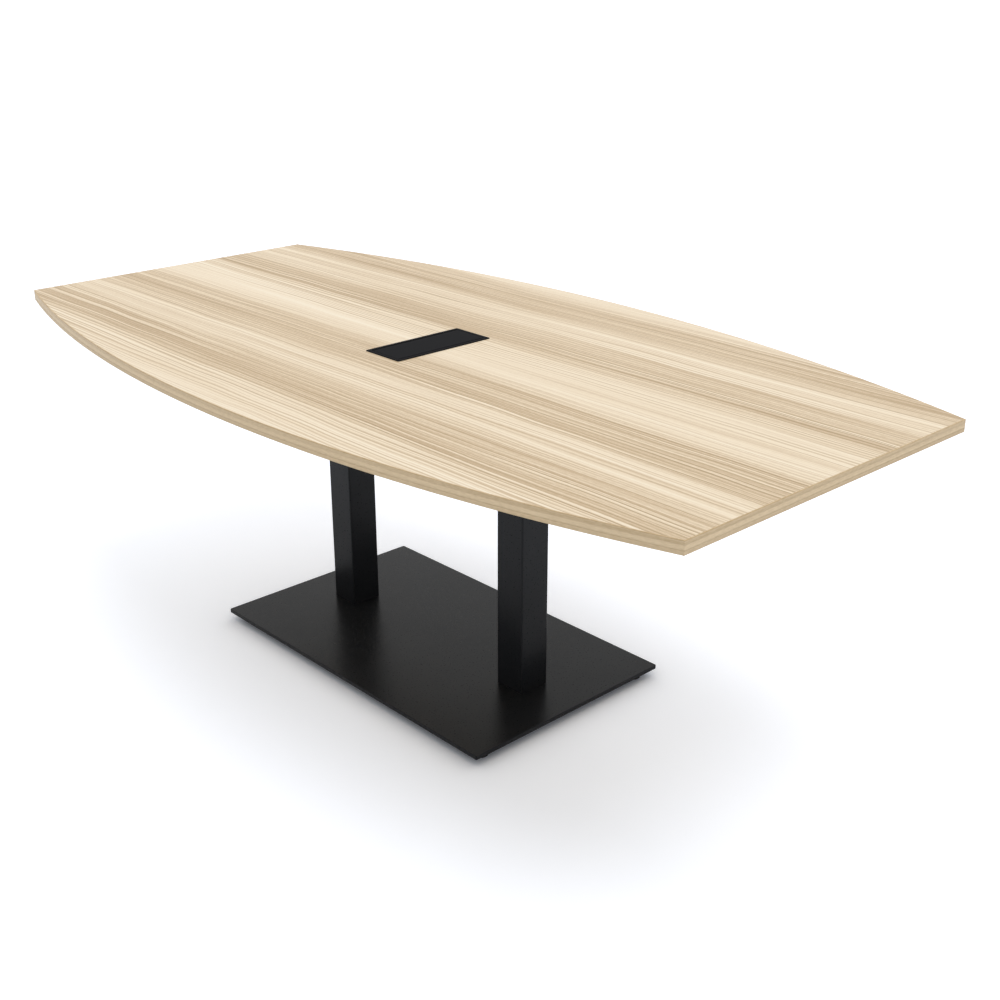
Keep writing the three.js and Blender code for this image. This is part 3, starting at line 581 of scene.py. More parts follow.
def printed_ash_laminate(name, looks):
    """Melamine laminate with a printed ash decor, pressed against a finely pored plate."""
    # A satin sheet: long cream and tan bands, thin darker lines along the table, no joints.
    made, tree = begin(name)
    place = add(tree, "ShaderNodeTexCoord").outputs["Object"]
    axes = add(tree, "ShaderNodeSeparateXYZ", {0: place}).outputs
    across = layered(tree, axes["Y"], place, DECOR_SWAY)
    grain = add(tree, "ShaderNodeCombineXYZ", {"X": axes["X"], "Y": across})
    count = add(
        tree, "ShaderNodeMath", {0: across, 1: 1 / looks.repeat, 2: -DECOR_START / looks.repeat},
        operation="MULTIPLY_ADD",
    )
    phase = add(tree, "ShaderNodeMath", {0: count}, operation="FRACT")
    width = DECOR_BANDS[-1][0]
    bands, lined = [
        add(
            tree, "ShaderNodeValToRGB", {"Fac": phase},
            stops=[(start / width, (level,) * 3) for start, level in zones],
        )
        for zones in (DECOR_BANDS, DECOR_LINES)
    ]
    # The light bands are calmer than the dark ones.
    calm = add(
        tree, "ShaderNodeMapRange",
        {"Value": bands, "From Min": 0.35, "From Max": 0.9, "To Min": 1.0, "To Max": 0.55},
    )
    streaked = layered(tree, 0.0, grain, DECOR_STREAKS)
    tone = add(tree, "ShaderNodeMath", {0: streaked, 1: calm, 2: bands}, operation="MULTIPLY_ADD")
    # Close lines, pushed out of step and fading in and out along the grain.
    even = add(tree, "ShaderNodeMath", {0: across, 1: 2 * math.pi / LINE_SPACING}, operation="MULTIPLY")
    shift = streaks(tree, grain, *LINE_SHIFT)
    pushed = add(tree, "ShaderNodeMath", {0: shift, 1: LINE_PUSH, 2: even}, operation="MULTIPLY_ADD")
    wave = add(tree, "ShaderNodeMath", {0: pushed}, operation="SINE")
    crest = add(tree, "ShaderNodeMapRange", {"Value": wave, "From Min": -1})
    lines = add(tree, "ShaderNodeMath", {0: crest, 1: LINE_SHARPNESS}, operation="POWER")
    fade = streaks(tree, grain, *LINE_FADE)
    strength = add(
        tree, "ShaderNodeMapRange", {"Value": fade, "From Min": 0.1, "From Max": 0.65, "To Max": -1.0}
    )
    shown = add(tree, "ShaderNodeMath", {0: strength, 1: lined}, operation="MULTIPLY")
    tone = add(tree, "ShaderNodeMath", {0: shown, 1: lines, 2: tone}, operation="MULTIPLY_ADD")
    spread = add(tree, "ShaderNodeMapRange", {"Value": tone, "From Min": -0.4, "From Max": 1.4})
    colour = add(
        tree, "ShaderNodeValToRGB", {"Fac": spread},
        stops=[(0.0, looks.grain), (0.33, looks.tan), (0.72, looks.cream), (1.0, looks.pale)],
    )
    pores = streaks(tree, place, *PRESSED_PORE)
    rough = add(tree, "ShaderNodeMapRange", {"Value": pores, "To Min": 0.40, "To Max": 0.56})
    bump = add(tree, "ShaderNodeBump", {"Height": pores, "Strength": 0.25, "Distance": 0.05 * MM})
    close(tree, {
        "Base Color": colour, "Roughness": rough, "Normal": bump, "IOR": 1.5, "Specular IOR Level": 0.3,
    })
    return made


# The edge strip's tone across its height, from the bottom up, from dark to light: the print's grain, and
# darker at the very top and bottom.
STRIP_BANDS = (
    (0.0, 0.35), (0.2, 0.5), (0.27, 0.45), (0.31, 0.15), (0.35, 0.5), (0.45, 0.72), (0.62, 0.7),
    (0.72, 0.45), (0.9, 0.5), (0.96, 0.3),
)
# Streaks in it: length along X and Y, height, and how far they shift the tone. The last are the
# wood's pores, drawn higher than real ones so that they show.
STRIP_STREAKS = (
    (1400 * MM, 1400 * MM, 9 * MM, 0.35), (900 * MM, 900 * MM, 3.5 * MM, 0.4),
    (10 * MM, 10 * MM, 2 * MM, 0.55),
)


def printed_ash_edge_strip(name, looks):
    """ABS edge strip with a printed ash grain, hot-glued and trimmed."""
    # The grain runs along the strip: a light streak at half height, a thin dark line below it and a
    # fine speckle.
    made, tree = begin(name)
    place = add(tree, "ShaderNodeTexCoord").outputs["Object"]
    height = add(tree, "ShaderNodeSeparateXYZ", {0: place}).outputs["Z"]
    share = add(
        tree, "ShaderNodeMapRange", {"Value": height, "From Min": top_low.z, "From Max": top_high.z}
    )
    bands = add(
        tree, "ShaderNodeValToRGB", {"Fac": share},
        stops=[(level, (tone,) * 3) for level, tone in STRIP_BANDS],
    )
    tone = layered(tree, bands, place, STRIP_STREAKS)
    colour = add(
        tree, "ShaderNodeValToRGB", {"Fac": tone}, stops=[(0.1, looks.strip_grain), (0.9, looks.strip)]
    )
    bump = add(tree, "ShaderNodeBump", {"Height": tone, "Strength": 0.15, "Distance": 0.05 * MM})
    close(tree, {
        "Base Color": colour, "Roughness": 0.5, "Normal": bump, "IOR": 1.5, "Specular IOR Level": 0.2,
    })
    return made


def pressed_chipboard(name, looks):
    """Resin-bonded chipboard with a sawn edge."""
    # Short pale and dark chips pressed flat, 6 mm across and 1.6 mm high, dull all over.
    made, tree = begin(name)
    place = add(tree, "ShaderNodeTexCoord").outputs["Object"]
    stretch = [1 / size for size in (6 * MM, 6 * MM, 1.6 * MM)]
    flattened = add(tree, "ShaderNodeVectorMath", {0: place, 1: stretch}, operation="MULTIPLY")
    chips = add(tree, "ShaderNodeTexVoronoi", {"Vector": flattened, "Scale": 1})
    shade = add(tree, "ShaderNodeSeparateColor", {0: chips.outputs["Color"]})
    dark = [0.55 * c for c in looks.chips]
    colour = add(tree, "ShaderNodeValToRGB", {"Fac": shade}, stops=[(0.1, dark), (0.8, looks.chips)])
    close(tree, {"Base Color": colour, "Roughness": 0.9, "Specular IOR Level": 0.15})
    return made


def powder_coated_steel(name, looks):
    """Mild steel, polyester powder sprayed on and stoved to a satin black."""
    # Nearly black, with a faint orange peel that breaks up the soft reflections.
    made, tree = begin(name)
    place = add(tree, "ShaderNodeTexCoord").outputs["Object"]
    # The peel is 2 mm across, and is drawn at 4 mm so that it shows. The clouds are 160 mm across.
    peel, cloud = [
        add(tree, "ShaderNodeTexNoise", {"Vector": place, "Scale": 1 / size, "Detail": 2})
        for size in (4 * MM, 160 * MM)
    ]
    lighter = [1.35 * c for c in looks.coat]
    colour = add(tree, "ShaderNodeValToRGB", {"Fac": cloud}, stops=[(0.3, looks.coat), (0.8, lighter)])
    rough = add(tree, "ShaderNodeMapRange", {"Value": peel, "To Min": 0.24, "To Max": 0.34})
    bump = add(tree, "ShaderNodeBump", {"Height": peel, "Strength": 0.12, "Distance": 0.06 * MM})
    close(tree, {
        "Base Color": colour, "Roughness": rough, "Normal": bump, "IOR": 1.5, "Specular IOR Level": 0.11,
    })
    return made


def mottled(name, patch, detail, stops, rough, sockets, relief=0.0):
    """A surface with small patches that differ in colour, in shine and, with relief, in height."""
    made, tree = begin(name)
    place = add(tree, "ShaderNodeTexCoord").outputs["Object"]
    patches = add(tree, "ShaderNodeTexNoise", {"Vector": place, "Scale": 1 / patch, "Detail": detail})
    colour = add(tree, "ShaderNodeValToRGB", {"Fac": patches}, stops=stops)
    shine = add(tree, "ShaderNodeMapRange", {"Value": patches, "To Min": rough[0], "To Max": rough[1]})
    sockets = {**sockets, "Base Color": colour, "Roughness": shine}
    if relief:
        bump = {"Height": patches, "Strength": relief, "Distance": 0.05 * MM}
        sockets["Normal"] = add(tree, "ShaderNodeBump", bump)
    close(tree, sockets)
    return made


def zinc_plated_steel(name, looks):
    """Cold-headed steel, barrel plated with bright zinc."""
    # A cool metal, a little cloudy in patches of 3 mm.
    dull = [0.72 * c for c in looks.zinc]
    return mottled(name, 3 * MM, 3, [(0.3, dull), (0.65, looks.zinc)], (0.38, 0.24), {"Metallic": 1.0})


def moulded(name, colour, grit, rough):
    """A moulded plastic: a fine even grit from the tool takes the shine off."""
    # The grit is about 0.1 mm across, and is drawn about ten times as coarse so that it shows.
    lighter = [1.3 * c for c in colour]
    sockets = {"IOR": 1.5, "Specular IOR Level": 0.01}
    return mottled(name, grit, 2, [(0.35, colour), (0.7, lighter)], rough, sockets, relief=0.2)


def moulded_black_abs(name, looks):
    """ABS from a spark-eroded tool: charcoal black and dull, with a faint paler speckle."""
    return moulded(name, looks.shell, 1.2 * MM, (0.44, 0.58))


def moulded_grey_polycarbonate(name, looks):
    """Polycarbonate from a finely eroded tool: dark grey and a little smoother than the ABS."""
    return moulded(name, looks.outlet, 0.9 * MM, (0.34, 0.44))


def moulded_nylon(name, looks):
    """Glass-filled nylon: black, with a dry, speckled surface."""
    return moulded(name, looks.pad, 1.5 * MM, (0.55, 0.72))


def plated(name, colour, rough):
    """Thin bright plating over stamped metal, rubbed a little dull in patches of 1.5 mm."""
    dull = [0.8 * c for c in colour]
    return mottled(name, 1.5 * MM, 2, [(0.3, colour), (0.7, dull)], rough, {"Metallic": 1.0})


def nickel_plated_brass(name, looks):
    """Stamped brass with bright nickel: a warm white metal."""
    return plated(name, looks.nickel, (0.18, 0.32))


def gold_flashed_contacts(name, looks):
    """Sprung bronze with a gold flash: small bright yellow lines."""
    return plated(name, looks.gold, (0.2, 0.34))


# Table top
top_low, top_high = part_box("edge_band_front_side")
end_low, end_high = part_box("edge_band_right_end")
half_length = end_high.x
half_width = -top_low.y
band = end_high.x - end_low.x
side_rise = half_width - END_WIDTH / 2
side_radius = (half_length ** 2 + side_rise ** 2) / (2 * side_rise)
side_centre = side_radius - half_width


def boat(inset):
    """The outline of the top: straight ends, and long sides that are arcs."""
    radius = side_radius - inset
    swing = math.asin((half_length - inset) / radius)
    turns = [swing * (2 * step / SIDE_STEPS - 1) for step in range(SIDE_STEPS + 1)]
    front = [(radius * math.sin(a), side_centre - radius * math.cos(a)) for a in turns]
    return front + [(-x, -y) for x, y in front]


def front_strip(share, depth):
    """A point of the strip along the front side, by its share of the way and its depth."""
    radius = side_radius - depth
    angle = share * math.asin((half_length - band - GLUE_LINE) / radius)
    return radius * math.sin(angle), side_centre - radius * math.cos(angle)


def right_strip(share, depth):
    """A point of the strip across the right end, which is cut to the curve of the sides."""
    x = half_length - depth
    return x, share * (math.sqrt(side_radius ** 2 - x ** 2) - side_centre)


def edge_strip(point, arris):
    """A strip with its outer arrises rounded, run along the points that a function gives."""
    low, high = top_low.z, top_high.z
    section = [(band, low), *rounded(low, high, arris), (band, high)]
    shares = [2 * step / SIDE_STEPS - 1 for step in range(SIDE_STEPS + 1)]
    return solid([[(*point(share, depth), height) for depth, height in section] for share in shares])


class TABLE_OT_top(bpy.types.Operator):
    """Makes the decor sheet, the backing sheet and the edge strips, and finishes the core"""

    bl_idname = "table.top"
    bl_label = "Table top"

    def execute(self, context):
        looks = context.scene.table_top
        laminate = material_of(printed_ash_laminate, looks)
        strip = material_of(printed_ash_edge_strip, looks)
        rim_low, rim_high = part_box("power_bezel")
        rim = rim_high - rim_low
        cutout = rectangle(rim.x - 2 * CUTOUT_COVER, rim.y - 2 * CUTOUT_COVER, LEAST_RADIUS)
        outline = polygon(*boat(band + GLUE_LINE))
        for name, node in (("decor_sheet", "top_laminate"), ("backing_sheet", "underside_backer")):
            low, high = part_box(node)
            sheet = solid(straight(outline, low.z, high.z), holes=[straight(cutout, low.z, high.z)])
            piece(name, sheet, laminate, [node])
        half_turn = Matrix.Rotation(math.pi, 4, "Z")
        still = Matrix.Identity(4)
        for point, label, matrix in (
            (front_strip, "front_side", still),
            (front_strip, "rear_side", half_turn),
            (right_strip, "right_end", still),
            (right_strip, "left_end", half_turn),
        ):
            body = turn(edge_strip(point, looks.arris), matrix)
            piece(f"edge_strip_{label}", body, strip, [f"edge_band_{label}"])
        dress("top_core", material_of(pressed_chipboard, looks))
        return {"FINISHED"}


# Base
def weld_bead(side, height, middle):
    """A rippled fillet round the head of a column, under its fixing plate."""
    corners = rectangle(side, side, COLUMN_RADIUS, middle)()
    stations = []
    for start, end in zip(corners, corners[1:] + corners[:1]):
        steps = max(1, round(math.dist(start, end) / (WELD_RIPPLE / RIPPLE_STEPS)))
        for step in range(steps):
            share = step / steps
            stations.append(tuple(a + (b - a) * share for a, b in zip(start, end)))
    flat_half = side / 2 - COLUMN_RADIUS
    rings = []
    for out, down in WELD_PROFILE:
        ring = []
        for number, place in enumerate(stations):
            leg = WELD_LEG * (1 + WELD_SWELL * math.sin(number * 2 * math.pi / RIPPLE_STEPS))
            outward = Vector((0.0, 0.0))
            for axis in (0, 1):
                away = place[axis] - middle[axis]
                outward[axis] = math.copysign(max(abs(away) - flat_half, 0.0), away)
            outward = outward.normalized() * out * leg
            ring.append((place[0] + outward.x, place[1] + outward.y, height - down * leg))
        rings.append(ring)
    bm = bmesh.new()
    wall(bm, rings + rings[:1])
    bmesh.ops.remove_doubles(bm, verts=bm.verts[:], dist=SAME_POINT)
    bmesh.ops.recalc_face_normals(bm, faces=bm.faces[:])
    return bm


class TABLE_OT_base(bpy.types.Operator):
    """Makes the base plate, the columns and the plates that hold the top"""

    bl_idname = "table.base"
    bl_label = "Base"

    def execute(self, context):
        looks = context.scene.table_base
        coat = material_of(powder_coated_steel, looks)
        bolts = [name for side in SIDES for name in numbered(f"column_bolt_{side}")]
        studs = numbered("glide_stud")
        low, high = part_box("base_plate")
        outline = rectangle(high.x - low.x, high.y - low.y, PLATE_CORNER)
        bolt_holes = [straight(circle(BOLT_HOLE, spot(bolt)), low.z, high.z) for bolt in bolts]
        stud_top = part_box(studs[0])[1].z + STUD_HOLE_SPARE
        stud_holes = [straight(circle(NUT_BORE, spot(stud)), low.z, stud_top) for stud in studs]
        plate = solid(eased(outline, low.z, high.z, looks.arris), bolt_holes, sockets=stud_holes)
        piece("steel_plate", plate, coat, ["base_plate"])

        for side in SIDES:
            low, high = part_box(f"column_{side}")
            middle = spot(f"column_{side}")
            width = high.x - low.x
            bore = width - 2 * COLUMN_WALL
            outer = straight(rectangle(width, width, COLUMN_RADIUS, middle), low.z, high.z)
            inner = straight(rectangle(bore, bore, COLUMN_RADIUS - COLUMN_WALL, middle), low.z, high.z)
            piece(f"tube_{side}", solid(outer, [inner]), coat, [f"column_{side}"])
            piece(f"weld_bead_{side}", weld_bead(width, high.z, middle), coat)
            dress(f"column_foot_{side}", coat)

            low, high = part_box(f"mounting_plate_{side}")
            outline = rectangle(high.x - low.x, high.y - low.y, FIXING_PLATE_CORNER, middle)
            screws = numbered(f"top_screw_{side}")
            holes = [straight(circle(SCREW_HOLE, spot(screw)), low.z, high.z) for screw in screws]
            plate = solid(eased(outline, low.z, high.z, looks.arris), holes)
            piece(f"fixing_plate_{side}", plate, coat, [f"mounting_plate_{side}"])
        return {"FINISHED"}


# Fasteners and glides
def hex_rings(flats, low, high, chamfer_low=False, chamfer_high=True):
    """Rings of a hexagonal head or nut whose corners are turned off at an angle."""
    face = HEX_FACE * flats / 2
    sixth = math.pi / 3
    turns = [2 * math.pi * step / HEX_SIDES for step in range(HEX_SIDES)]
    radii = [flats / 2 / math.cos(a % sixth - sixth / 2) for a in turns]
    slope = math.tan(HEX_CHAMFER)

    def edge(height, rise):
        return [
            (r * math.cos(a), r * math.sin(a), height + rise * (r - face)) for a, r in zip(turns, radii)
        ]

    def rim(height):
        return [(face * math.cos(a), face * math.sin(a), height) for a in turns]

    lower = [rim(low), edge(low, slope)] if chamfer_low else [edge(low, 0)]
    upper = [edge(high, -slope), rim(high)] if chamfer_high else [edge(high, 0)]
    return lower + upper


def cross_recess(span, top):
    """Rings of a cross-shaped recess that narrows to its floor."""

    def cross(reach):
        arm = reach * RECESS_ARM
        quarter = [(reach, -arm), (reach, arm), (arm, arm)]
        points = []
        for _ in range(4):
            points += quarter
            quarter = [(-y, x) for x, y in quarter]
        return points

    return [at_height(cross(RECESS_FLOOR * span), top - RECESS_DEPTH), at_height(cross(span), top)]


def pan_screw(head_radius, head_height, shank, length, tip):
    """A cross-recessed pan-head screw along Z, with its seat at the origin and its head up."""
    flat = HEAD_FLAT * head_radius
    rim = HEAD_RIM * head_height
    end = SCREW_POINT * shank if tip else shank
    profile = [
        (end, -length), (shank, max(tip, LEAST_RADIUS) - length), (shank, 0), (head_radius, 0),
        (head_radius, rim), *dome(head_radius, flat, rim, head_height, EASE_STEPS),
    ]
    return solid(turned(profile), pockets=[cross_recess(RECESS_SPAN * flat, head_height)])


def flange_bolt(low, high, seat):
    """A hexagon flange bolt along Z, head down, between two heights."""
    flange = seat - BOLT_FLANGE_THICKNESS
    head = turn(solid(hex_rings(BOLT_FLATS, -flange, -low)), Matrix.Rotation(math.pi, 4, "X"))
    stem = turned([
        (BOLT_FLANGE - BOLT_FLANGE_CHAMFER, flange), (BOLT_FLANGE, flange + BOLT_FLANGE_CHAMFER),
        (BOLT_FLANGE, seat), (BOLT_SHANK, seat), (BOLT_SHANK, high - BOLT_TIP_CHAMFER),
        (BOLT_SHANK - BOLT_TIP_CHAMFER, high),
    ])
    return together(head, solid(stem))


def thread_rings(radius, low, high):
    """Rings of a screw thread: the radius rises and falls once in each pitch as it winds up."""
    count = max(2, round((high - low) / THREAD_PITCH * THREAD_STEPS))
    rings = []
    for step in range(count + 1):
        height = low + (high - low) * step / count
        ring = []
        for side in range(THREAD_SIDES):
            share = side / THREAD_SIDES
            wave = abs(2 * ((height / THREAD_PITCH - share) % 1) - 1)
            reach = radius - THREAD_DEPTH * wave
            angle = 2 * math.pi * share
            ring.append((reach * math.cos(angle), reach * math.sin(angle), height))
        rings.append(ring)
    return rings


def glide_stud(low, high, collar):
    """A threaded stud: a round foot in the pad, a neck, a spanner collar and the thread."""
    foot_top = low + STUD_FOOT_HEIGHT
    neck = turned([(STUD_FOOT, low), (STUD_FOOT, foot_top), (STUD_NECK, foot_top), (STUD_NECK, collar)])
    spanner = hex_rings(STUD_COLLAR_FLATS, collar, collar + STUD_COLLAR, True, True)
    thread = thread_rings(STUD_RADIUS, collar + STUD_COLLAR, high)
    return together(solid(neck), solid(spanner), solid(thread))


def foot_pad(low, high, radius):
    """A glide pad: a round foot with a domed shoulder and a neck hole."""
    shoulder = low + PAD_SHOULDER * (high - low)
    profile = [
        (radius - PAD_ARRIS, low), (radius, low + PAD_ARRIS), (radius, shoulder),
        *dome(radius, PAD_CROWN * radius, shoulder, high, CORNER_STEPS),
    ]
    well = turned([(PAD_NECK, low + PAD_FLOOR * (high - low)), (PAD_NECK, high)])
    return solid(turned(profile), pockets=[well])


class TABLE_OT_fasteners(bpy.types.Operator):
    """Makes the bolts through the base plate and the screws up into the top"""

    bl_idname = "table.fasteners"
    bl_label = "Bolts and screws"

    def execute(self, context):
        zinc = material_of(zinc_plated_steel, context.scene.table_base)
        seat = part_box("base_plate")[0].z
        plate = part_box("mounting_plate_left")[0].z
        head_down = Matrix.Translation((0, 0, plate)) @ Matrix.Rotation(math.pi, 4, "X")
        for side in SIDES:
            for number, node in enumerate(numbered(f"column_bolt_{side}"), 1):
                low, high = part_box(node)
                bolt = flange_bolt(low.z, high.z, seat)
                hang(f"flange_bolt_{side}_{number}", bolt, spot(node), zinc, node)
            for number, node in enumerate(numbered(f"top_screw_{side}"), 1):
                low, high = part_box(node)
                radius = (high.x - low.x) / 2
                screw = pan_screw(radius, plate - low.z, SCREW_SHANK, high.z - plate, SCREW_TIP)
                name = f"pan_screw_{side}_{number}"
                hang(name, turn(screw, head_down), spot(node), zinc, node)
        return {"FINISHED"}


class TABLE_OT_glides(bpy.types.Operator):
    """Makes the four levelling glides: nut, stud and pad"""

    bl_idname = "table.glides"
    bl_label = "Levelling glides"

    def execute(self, context):
        looks = context.scene.table_base
        zinc = material_of(zinc_plated_steel, looks)
        nylon = material_of(moulded_nylon, looks)
        for number, node in enumerate(numbered("glide_pad"), 1):
            place = spot(node)
            low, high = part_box(node)
            pad = foot_pad(low.z, high.z, (high.x - low.x) / 2)
            hang(f"foot_pad_{number}", pad, place, nylon, node, f"pad_{number}")
            collar = high.z + COLLAR_GAP

            node = f"glide_stud_{number}"
            low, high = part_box(node)
            stud = glide_stud(low.z, high.z, collar)
            hang(f"threaded_stud_{number}", stud, place, zinc, node, f"stud_{number}")

            node = f"glide_nut_{number}"
            low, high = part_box(node)
            bore = straight(circle(NUT_BORE), low.z, high.z)
            nut = solid(hex_rings(NUT_FLATS, low.z, high.z, True, False), [bore])
            hang(f"weld_nut_{number}", nut, place, zinc, node)
        return {"FINISHED"}


# Power box
hinge = next(joint for joint in frame["joints"] if joint["name"] == "lid_hinge")
hinge_place = Vector(hinge["pos_m"])


def box_rim(ease):
    """The rim on the top, its collar in the cut-out and the ledge that the lid lies on."""
    low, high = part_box("power_bezel")
    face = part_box("top_laminate")[1].z
    width, length = high.x - low.x, high.y - low.y
    opening_x, opening_y = width / 2 - RIM_WIDTH, length / 2 - RIM_WIDTH
    opening = rectangle(2 * opening_x, 2 * opening_y, LEAST_RADIUS)
    collar = rectangle(2 * (opening_x + COLLAR_WALL), 2 * (opening_y + COLLAR_WALL), LEAST_RADIUS)
    rim = rectangle(width, length, RIM_CORNER)
    outer = straight(collar, low.z, face) + eased(rim, face, high.z, ease)
    shell = solid(outer, [straight(opening, low.z, high.z)])

    lid_low, lid_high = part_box("power_lid")
    barrel = hinge_place.x - lid_low.x
    ledge_top = lid_high.z - LID_THICKNESS - LEDGE_GAP
    ledge_bottom = lid_low.z - BARREL_CLEARANCE
    start = hinge_place.x + barrel + BARREL_CLEARANCE
    out_x, out_y = opening_x + COLLAR_WALL / 2, opening_y + COLLAR_WALL / 2
    in_x, in_y = opening_x - LEDGE_WIDTH, opening_y - LEDGE_WIDTH
    scoop = FINGER_SCOOP / 2
    rear = [(start, in_y), (in_x, in_y), (in_x, scoop), (out_x, scoop), (out_x, out_y), (start, out_y)]
    front = [(x, -y) for x, y in reversed(rear)]
    ledges = [solid(straight(polygon(*points), ledge_bottom, ledge_top)) for points in (rear, front)]
    return together(shell, *ledges)


def box_lid():
    """The lid: a plate whose hinge edge is a barrel, drawn in section and run along Y."""
    low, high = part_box("power_lid")
    radius = hinge_place.x - low.x
    plate_low = high.z - LID_THICKNESS
    meet = math.asin((plate_low - hinge_place.z) / radius)
    start, end = math.pi / 2, 2 * math.pi + meet
    turns = [start + (end - start) * step / ROUND_SIDES for step in range(ROUND_SIDES + 1)]
    barrel = [(hinge_place.x + radius * math.cos(a), hinge_place.z + radius * math.sin(a)) for a in turns]
    return along_y([*barrel, (high.x, plate_low), (high.x, high.z)], low.y, high.y)


def outlet_rings(node):
    """Rings of an outlet: a body through the deck and a face that laps it."""
    low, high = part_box(node)
    middle = spot(node)
    width, length = high.x - low.x, high.y - low.y
    body = rectangle(width - 2 * FACE_LAP, length - 2 * FACE_LAP, LEAST_RADIUS, middle)
    face = rectangle(width, length, FACE_CORNER, middle)
    under = high.z - FACE_THICKNESS
    return straight(body, low.z, under) + eased(face, under, high.z, SMALL_ARRIS)


def slot_rings(outline, depth, top, flare=SLOT_FLARE):
    """Rings of a slot cut down from a face, with its mouth flared."""
    return [
        at_height(outline(), top - depth),
        at_height(outline(), top - flare),
        at_height(outline(-flare), top),
    ]


def mains_slots(middle, top):
    """Two blade slots and an earth hole."""
    x, y = middle[0] + BLADE_OFFSET, middle[1]
    outlines = [
        rectangle(length, BLADE_SLOT, BLADE_CORNER, (x, y + beside))
        for length, beside in zip(BLADE_LENGTHS, row(2, BLADE_SPACING))
    ]
    outlines.append(circle(EARTH_RADIUS, (x - EARTH_OFFSET, y)))
    return [slot_rings(outline, BLADE_DEPTH, top) for outline in outlines]


def usb_spots(middle):
    return [(middle[0] + beside, middle[1]) for beside in row(2, USB_SPACING)]


def usb_slots(middle, top):
    """Two charging ports side by side."""
    outlines = [rectangle(USB_WIDTH, USB_LENGTH, USB_CORNER, place) for place in usb_spots(middle)]
    return [slot_rings(outline, USB_DEPTH, top, USB_FLARE) for outline in outlines]


def data_slots(middle, top):
    """One port with the notch that takes the plug's latch."""
    x, y = middle
    half_x, half_y = DATA_WIDTH / 2, DATA_LENGTH / 2
    notch_x, notch_y = half_x + LATCH_WIDTH, LATCH_LENGTH / 2
    corners = [
        (-half_x, -half_y), (half_x, -half_y), (half_x, -notch_y), (notch_x, -notch_y),
        (notch_x, notch_y), (half_x, notch_y), (half_x, half_y), (-half_x, half_y),
    ]
    outline = polygon(*[(x + a, y + b) for a, b in corners])
    return [straight(outline, top - DATA_DEPTH, top)]


def data_springs(middle, top):
    """The row of contact springs that slope up out of a data port's floor."""
    x, y = middle
    half = SPRING_WIDTH / 2
    line = [(x + out, top - DATA_DEPTH + up) for out, up in SPRING_LINE]
    section = line + [(a + half, b - half) for a, b in reversed(line)]
    places = [y + beside for beside in row(DATA_CONTACTS, DATA_CONTACT_SPACING)]
    return together(*[along_y(section, place - half, place + half) for place in places])


class TABLE_OT_power_lid(bpy.types.Operator):
    """Makes the power box's rim and lid, and finishes the hinge pins"""

    bl_idname = "table.power_lid"
    bl_label = "Power box lid"

    def execute(self, context):
        looks = context.scene.table_power_box
        black = material_of(moulded_black_abs, looks)
        piece("box_rim", box_rim(looks.arris), black, ["power_bezel"])
        piece("box_lid", box_lid(), black, ["power_lid"], "lid", looks.arris)
        zinc = material_of(zinc_plated_steel, context.scene.table_base)
        for end in ENDS:
            dress(f"lid_pin_{end}", zinc)
        return {"FINISHED"}


